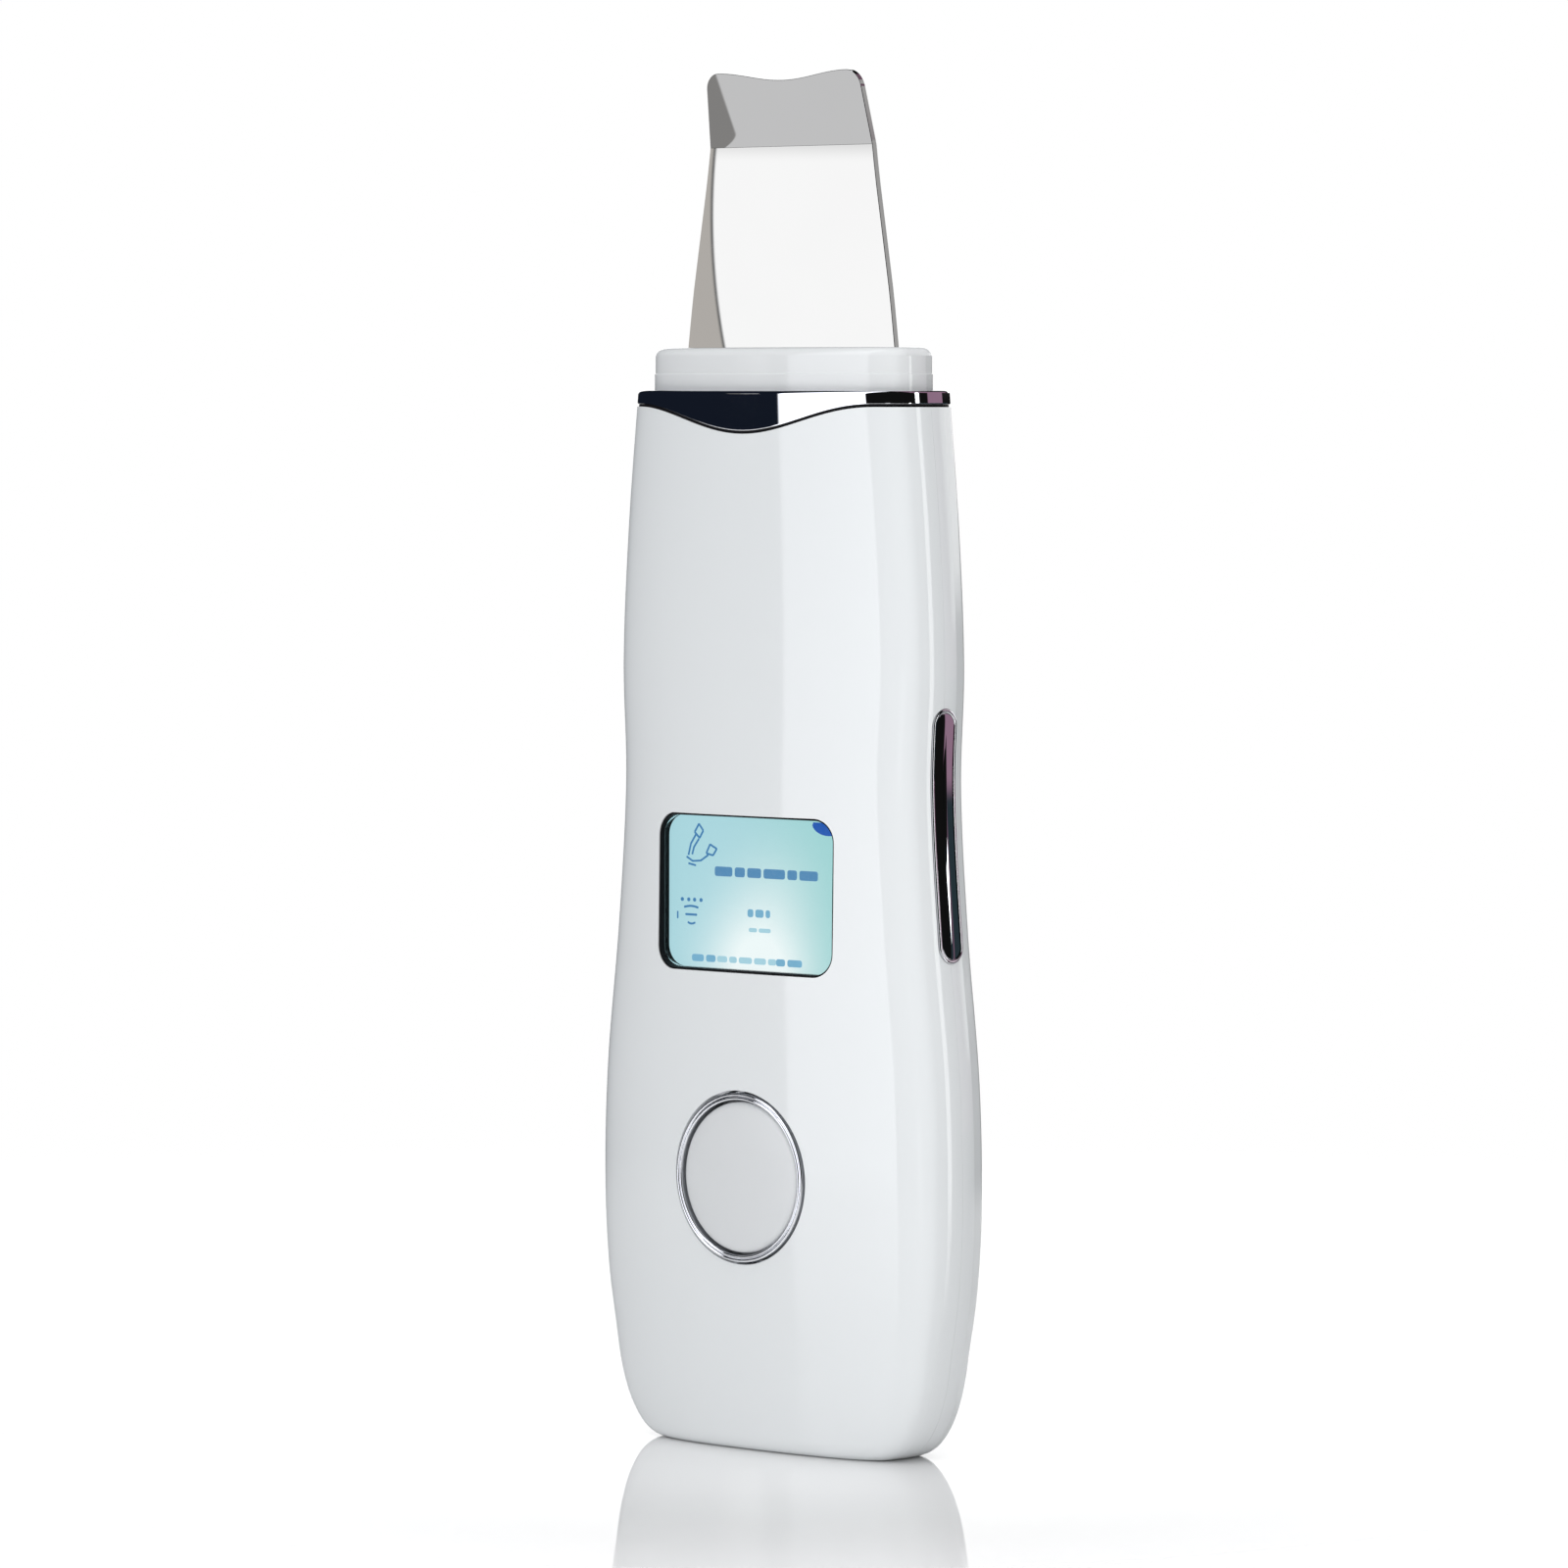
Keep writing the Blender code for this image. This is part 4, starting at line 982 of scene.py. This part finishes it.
# Colour, roughness, metal and grain of each material slot
FINISHES = {
    "gloss_white": ((0.79, 0.812, 0.82), 0.055, 0, dict(vary=0.006, scale=60)),
    "collar_white": ((0.79, 0.805, 0.81), 0.05, 0, dict(vary=0.008, scale=80)),
    "chrome": ((0.86, 0.87, 0.90), 0.015, 1, dict(vary=0.01, scale=200, rough_vary=0.3)),
    "blade_steel": ((0.42, 0.42, 0.42), 0.004, 1, dict(vary=0.012, scale=90, rough_vary=0.5)),
    "button_grey": ((0.69, 0.705, 0.715), 0.32, 0, dict(vary=0.01, bump=0.01)),
    "black_plastic": ((0.005, 0.005, 0.006), 0.5, 0, dict(bump=0.005, ior=1.2)),
    "diffuser": ((0.85, 0.87, 0.87), 0.45, 0, {}),
    "white_nylon": ((0.78, 0.78, 0.75), 0.5, 0, dict(bump=0.02)),
    "board_green": ((0.02, 0.16, 0.07), 0.35, 0, dict(vary=0.15, bump=0.02)),
    "chip_black": ((0.02, 0.02, 0.022), 0.5, 0, dict(bump=0.02)),
    "ferrite": ((0.06, 0.06, 0.065), 0.7, 0, dict(vary=0.2, bump=0.05)),
    "copper": ((0.75, 0.38, 0.22), 0.28, 1, dict(vary=0.06)),
    "silicone": ((0.66, 0.665, 0.67), 0.5, 0, dict(bump=0.01)),
    "steel": ((0.56, 0.56, 0.57), 0.3, 1, dict(vary=0.05)),
    "aluminium": ((0.74, 0.75, 0.76), 0.28, 1, dict(vary=0.04, bump=0.01)),
    "ceramic": ((0.62, 0.57, 0.45), 0.6, 0, dict(vary=0.06, bump=0.02)),
    "battery_foil": ((0.55, 0.58, 0.62), 0.33, 0.7, dict(vary=0.05, bump=0.04, bump_scale=250)),
    "foam": ((0.10, 0.10, 0.105), 0.95, 0, dict(vary=0.2, bump=0.15)),
    "capacitor_sleeve": ((0.03, 0.05, 0.16), 0.35, 0, {}),
    "wire_red": ((0.55, 0.02, 0.02), 0.4, 0, {}),
    "wire_black": ((0.02, 0.02, 0.02), 0.4, 0, {}),
    "polyimide": ((0.60, 0.28, 0.04), 0.33, 0, dict(vary=0.05)),
}


def all_finishes():
    made = {}
    for slot, (colour, roughness, metallic, grain) in FINISHES.items():
        made[slot] = finish(f"{slot}_look", colour, roughness, metallic, **grain)
    made["display_glass"] = glowing_display()
    made["clear_lens"] = clear_plastic()
    return made


# ---- studio

SOFTBOX, STRIP_PANEL, BACKDROP = (1.9, 1.92, 2.0), (3.6, 3.6, 3.6), (1.5, 1.5, 1.5)
GREY_CARD, HIGH_CARD = (0.55, 0.55, 0.56), (0.75, 0.74, 0.73)
DARK_SIDE, DARK_ROOM = (0.007, 0.010, 0.018), (0.006, 0.006, 0.006)
WALL_TEAL, WALL_MAUVE, WALL_STRIPE = (0.022, 0.036, 0.043), (0.29, 0.17, 0.24), (0.15, 0.09, 0.13)
WHITE_BRIGHT, WHITE_DIM = (2.2, 2.2, 2.2), (1.55, 1.55, 1.55)
WARM_GREY, LINE_GREY = (1.0, 0.95, 0.89), (0.25, 0.25, 0.25)
TIP_GREY, TIP_LIGHT = (0.50, 0.49, 0.48), (1.24, 1.24, 1.25)
SEEN_DIFFUSE, SEEN_CAMERA, SEEN_THROUGH = (0.467, 0.472, 0.48), (1.0, 1.0, 1.0), (0.3, 0.3, 0.3)


def studio_world():
    """White to the camera, an even light on diffuse surfaces, and a studio of panels in reflections."""
    world = bpy.data.worlds.new("studio")
    bpy.context.scene.world = world
    world.use_nodes = True
    world.node_tree.nodes.clear()
    g = Graph(world.node_tree)
    x, y, z = g.split(g.node("ShaderNodeTexCoord").outputs["Generated"])
    # In degrees: azimuth is 0 in front of the object and 90 at its right, and rise is 0 at the horizon.
    azimuth = g.math("DEGREES", g.math("ARCTAN2", x, g.math("MULTIPLY", y, -1.0)))
    rise = g.math("DEGREES", g.math("ARCSINE", z))

    def panel(colour, onto, *limits):
        """Paints colour where every value lies between its low and high."""
        share = 1.0
        for value, low, high, soft in limits:
            share = g.math("MULTIPLY", share, g.band(value, low, high, soft))
        return g.mix(share, onto, colour)

    room = panel(DARK_SIDE, DARK_ROOM, (azimuth, -138, -36, 1.0))
    side_wall = g.mix(g.step(rise, -2.75, 0.1), WALL_TEAL, WALL_MAUVE)
    room = g.mix(g.band(azimuth, 137, 178, 1.0), room, side_wall)
    room = panel(WALL_STRIPE, room, (azimuth, 141, 143.5, 0.3), (rise, -9.0, -2.8, 0.1))
    room = panel(GREY_CARD, room, (azimuth, 28, 38, 2.0), (rise, -30, -1.5, 1.0))
    room = panel(HIGH_CARD, room, (azimuth, 130, 160, 1.0), (rise, 9, 26, 0.5))
    room = panel(STRIP_PANEL, room, (azimuth, 112, 121.5, 0.4), (rise, -30, 12, 0.5))
    room = panel(SOFTBOX, room, (azimuth, -36.6, 1.8, 0.4))
    backdrop = g.math("MULTIPLY", g.step(rise, 1.0, 1.0), g.band(rise, -2, 18, 2.0))
    behind = g.math("SUBTRACT", 1.0, g.band(azimuth, -122, 155, 4.0))
    room = g.mix(g.math("MULTIPLY", backdrop, behind), room, BACKDROP)

    # What the blade's flat part reflects: a white panel with a curved edge lined in grey, and a warm wall.
    bow = g.square(g.math("SUBTRACT", rise, 1.35))
    edge = g.math("ADD", g.math("MULTIPLY", bow, 0.1), -42.576)
    white = g.mix(g.step(rise, 1.82, 0.1), WHITE_BRIGHT, WHITE_DIM)
    above = g.mix(g.step(azimuth, edge, 0.008), WARM_GREY, white)
    off_edge = g.math("ABSOLUTE", g.math("SUBTRACT", azimuth, edge))
    line = g.math("SUBTRACT", 1.0, g.math("DIVIDE", off_edge, 0.018), clamp=True)
    above = g.mix(line, above, LINE_GREY)
    front = g.math("MULTIPLY", g.band(azimuth, -44.2, -40.4, 0.05), g.band(rise, 0.38, 3.0, 0.01))
    room = g.mix(front, room, above)

    # What the bent tip reflects: a pale panel beside a grey one, with an edge that curls at the bottom.
    droop = g.math("MAXIMUM", g.math("SUBTRACT", -14.19, rise), 0.0)
    curl = g.math("MULTIPLY", g.square(droop), -16.0)
    slant = g.math("MULTIPLY", g.math("ADD", rise, 14.14), -0.065)
    tip_edge = g.math("ADD", g.math("ADD", curl, slant), -44.05)
    below = g.mix(g.step(azimuth, tip_edge, 0.01), TIP_GREY, TIP_LIGHT)
    front_low = g.math("MULTIPLY", g.band(azimuth, -60.0, -36.0, 1.0), g.band(rise, -30.0, -13.5, 0.1))
    room = g.mix(front_low, room, below)

    path = g.node("ShaderNodeLightPath")
    seen = g.mix(path.outputs["Is Diffuse Ray"], room, SEEN_DIFFUSE)
    seen = g.mix(path.outputs["Is Camera Ray"], seen, SEEN_CAMERA)
    seen = g.mix(path.outputs["Is Transmission Ray"], seen, SEEN_THROUGH)
    background = g.node("ShaderNodeBackground")
    g.put(seen, background.inputs["Color"])
    output = g.node("ShaderNodeOutputWorld")
    g.put(background.outputs[0], output.inputs["Surface"])


def soft_light(name, azimuth, elevation, distance, size, power, target):
    """A square area light that only lights diffuse surfaces."""
    turn, rise = math.radians(azimuth), math.radians(elevation)
    level = math.cos(rise)
    away = Vector((math.sin(turn) * level, -math.cos(turn) * level, math.sin(rise)))
    data = bpy.data.lights.new(name, "AREA")
    data.shape = "SQUARE"
    data.size = size
    data.energy = power
    data.specular_factor = 0.0
    lamp = bpy.data.objects.new(name, data)
    bpy.context.scene.collection.objects.link(lamp)
    lamp.location = target + away * distance
    lamp.rotation_euler = (-away).to_track_quat("-Z", "Y").to_euler()
    lamp.visible_glossy = lamp.visible_camera = lamp.visible_transmission = False


FLOOR_RADIUS, FLOOR_THICK = 500, 2


def floor_disc():
    """Glossy pale floor that fades away round the object."""
    turns = np.linspace(0, math.tau, 96, endpoint=False)
    edge = [(FLOOR_RADIUS * math.cos(t), FLOOR_RADIUS * math.sin(t)) for t in turns]
    disc = loft("floor", [[(x, y, z) for x, y in edge] for z in (-FLOOR_THICK, 0)])
    made, graph, shader = base_material("floor_look")
    place = graph.place()
    x, y, _ = graph.split(place)
    radius = graph.math("SQRT", graph.math("ADD", graph.square(x), graph.square(y)))
    near = graph.between(graph.step(radius, 0.075, 0.055), 1.0, 0.42)
    far = graph.math("SUBTRACT", 1.0, graph.step(radius, 0.325, 0.075))
    tone = graph.mix(graph.noise(place, 20.0), (0.86, 0.86, 0.86), (0.87, 0.87, 0.87))
    graph.put(tone, shader.inputs["Base Color"])
    graph.put(graph.between(graph.noise(place, 50.0), 0.03, 0.04), shader.inputs["Roughness"])
    graph.put(graph.math("MULTIPLY", far, near), shader.inputs["Alpha"])
    graph.put(1.5, shader.inputs["IOR"])
    disc.data.materials.append(made)


# Metres, then the lens in millimetres and the camera's roll in degrees
CAMERA_PLACE, CAMERA_AIM = (0.6409, -0.7118, 0.1248), (-0.00069, -0.0006, 0.0795)
FOCAL_LENGTH, SENSOR_WIDTH, ROLL = 184.05, 36.0, 0.1


def camera():
    data = bpy.data.cameras.new("camera")
    data.lens = FOCAL_LENGTH
    data.sensor_width = SENSOR_WIDTH
    data.clip_start = 0.05
    cam = bpy.data.objects.new("camera", data)
    bpy.context.scene.collection.objects.link(cam)
    cam.location = CAMERA_PLACE
    aim = Vector(CAMERA_AIM) - cam.location
    turned = aim.to_track_quat("-Z", "Y") @ Quaternion((0, 0, 1), math.radians(ROLL))
    cam.rotation_euler = turned.to_euler()
    bpy.context.scene.camera = cam


# ---- assembly

looks = all_finishes()
node_slots = {row["node"]: row["material_slot"] for row in frame["record"]["subparts"]}
for node, obj in frame["nodes"].items():
    obj.data.materials.clear()
    obj.data.materials.append(looks[node_slots[node]])


def install(obj, slot, *nodes, body="housing", look=None):
    """Finishes a piece, rides it on its body, and hides the CAD nodes that it stands for."""
    obj.data.materials.clear()
    obj.data.materials.append(look or looks[slot])
    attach(obj, body)
    if nodes:
        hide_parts(*nodes)


install(front_cover(), "gloss_white", "front_cover")
install(rear_cover(), "gloss_white", "rear_cover")
install(trim_ring(), "chrome", "trim_ring")
# Black band under the trim ring: painted shade in the gap, not a part of the object
install(groove_shade_band(), "black_plastic")
install(collar(), "collar_white", "collar")
install(seal(), "silicone", "blade_seal")
install(blade(), "blade_steel", "blade")
install(window_frame(), "black_plastic", "window_frame")
install(layered("display_lens", LENS_LAYERS), "clear_lens", "window_lens")
install(layered("display_plate", PANEL_LAYERS), "display_glass", "display_panel")
for sign, ink, colour in (
    (icons, "ink_blue", (0.05, 0.20, 0.42)),
    (strong_bars, "ink_strong", (0.085, 0.25, 0.46)),
    (middle_bars, "ink_middle", (0.18, 0.42, 0.60)),
    (faint_bars, "ink_faint", (0.38, 0.63, 0.73)),
    (corner_mark, "ink_deep", (0.01, 0.09, 0.42)),
):
    install(sign(), "display_glass", look=glowing_ink(ink, colour))
install(button_bezel(), "chrome", "button_bezel")
install(button_cap(), "button_grey", "button_cap", body="button")
for side, label in ((1, "right"), (-1, "left")):
    install(side_bezel(side, f"contact_rim_{label}"), "chrome", f"side_bezel_{label}")
    install(side_plate(side, f"contact_plate_{label}"), "chrome", f"side_plate_{label}")

studio_world()
# Azimuth, elevation, distance, size, watts and the point aimed at
soft_light("key", 44, 0, 0.9, 0.6, 1.85, Vector((0, 0, 0.06)))
soft_light("overhead", 42, 80, 0.9, 0.8, 4.0, Vector((0, 0, 0.08)))
soft_light("low_fill", 30, 0, 0.2, 0.08, 0.06, Vector((0, 0, 0.046)))
floor_disc()
camera()
bpy.context.scene.view_settings.view_transform = "Standard"
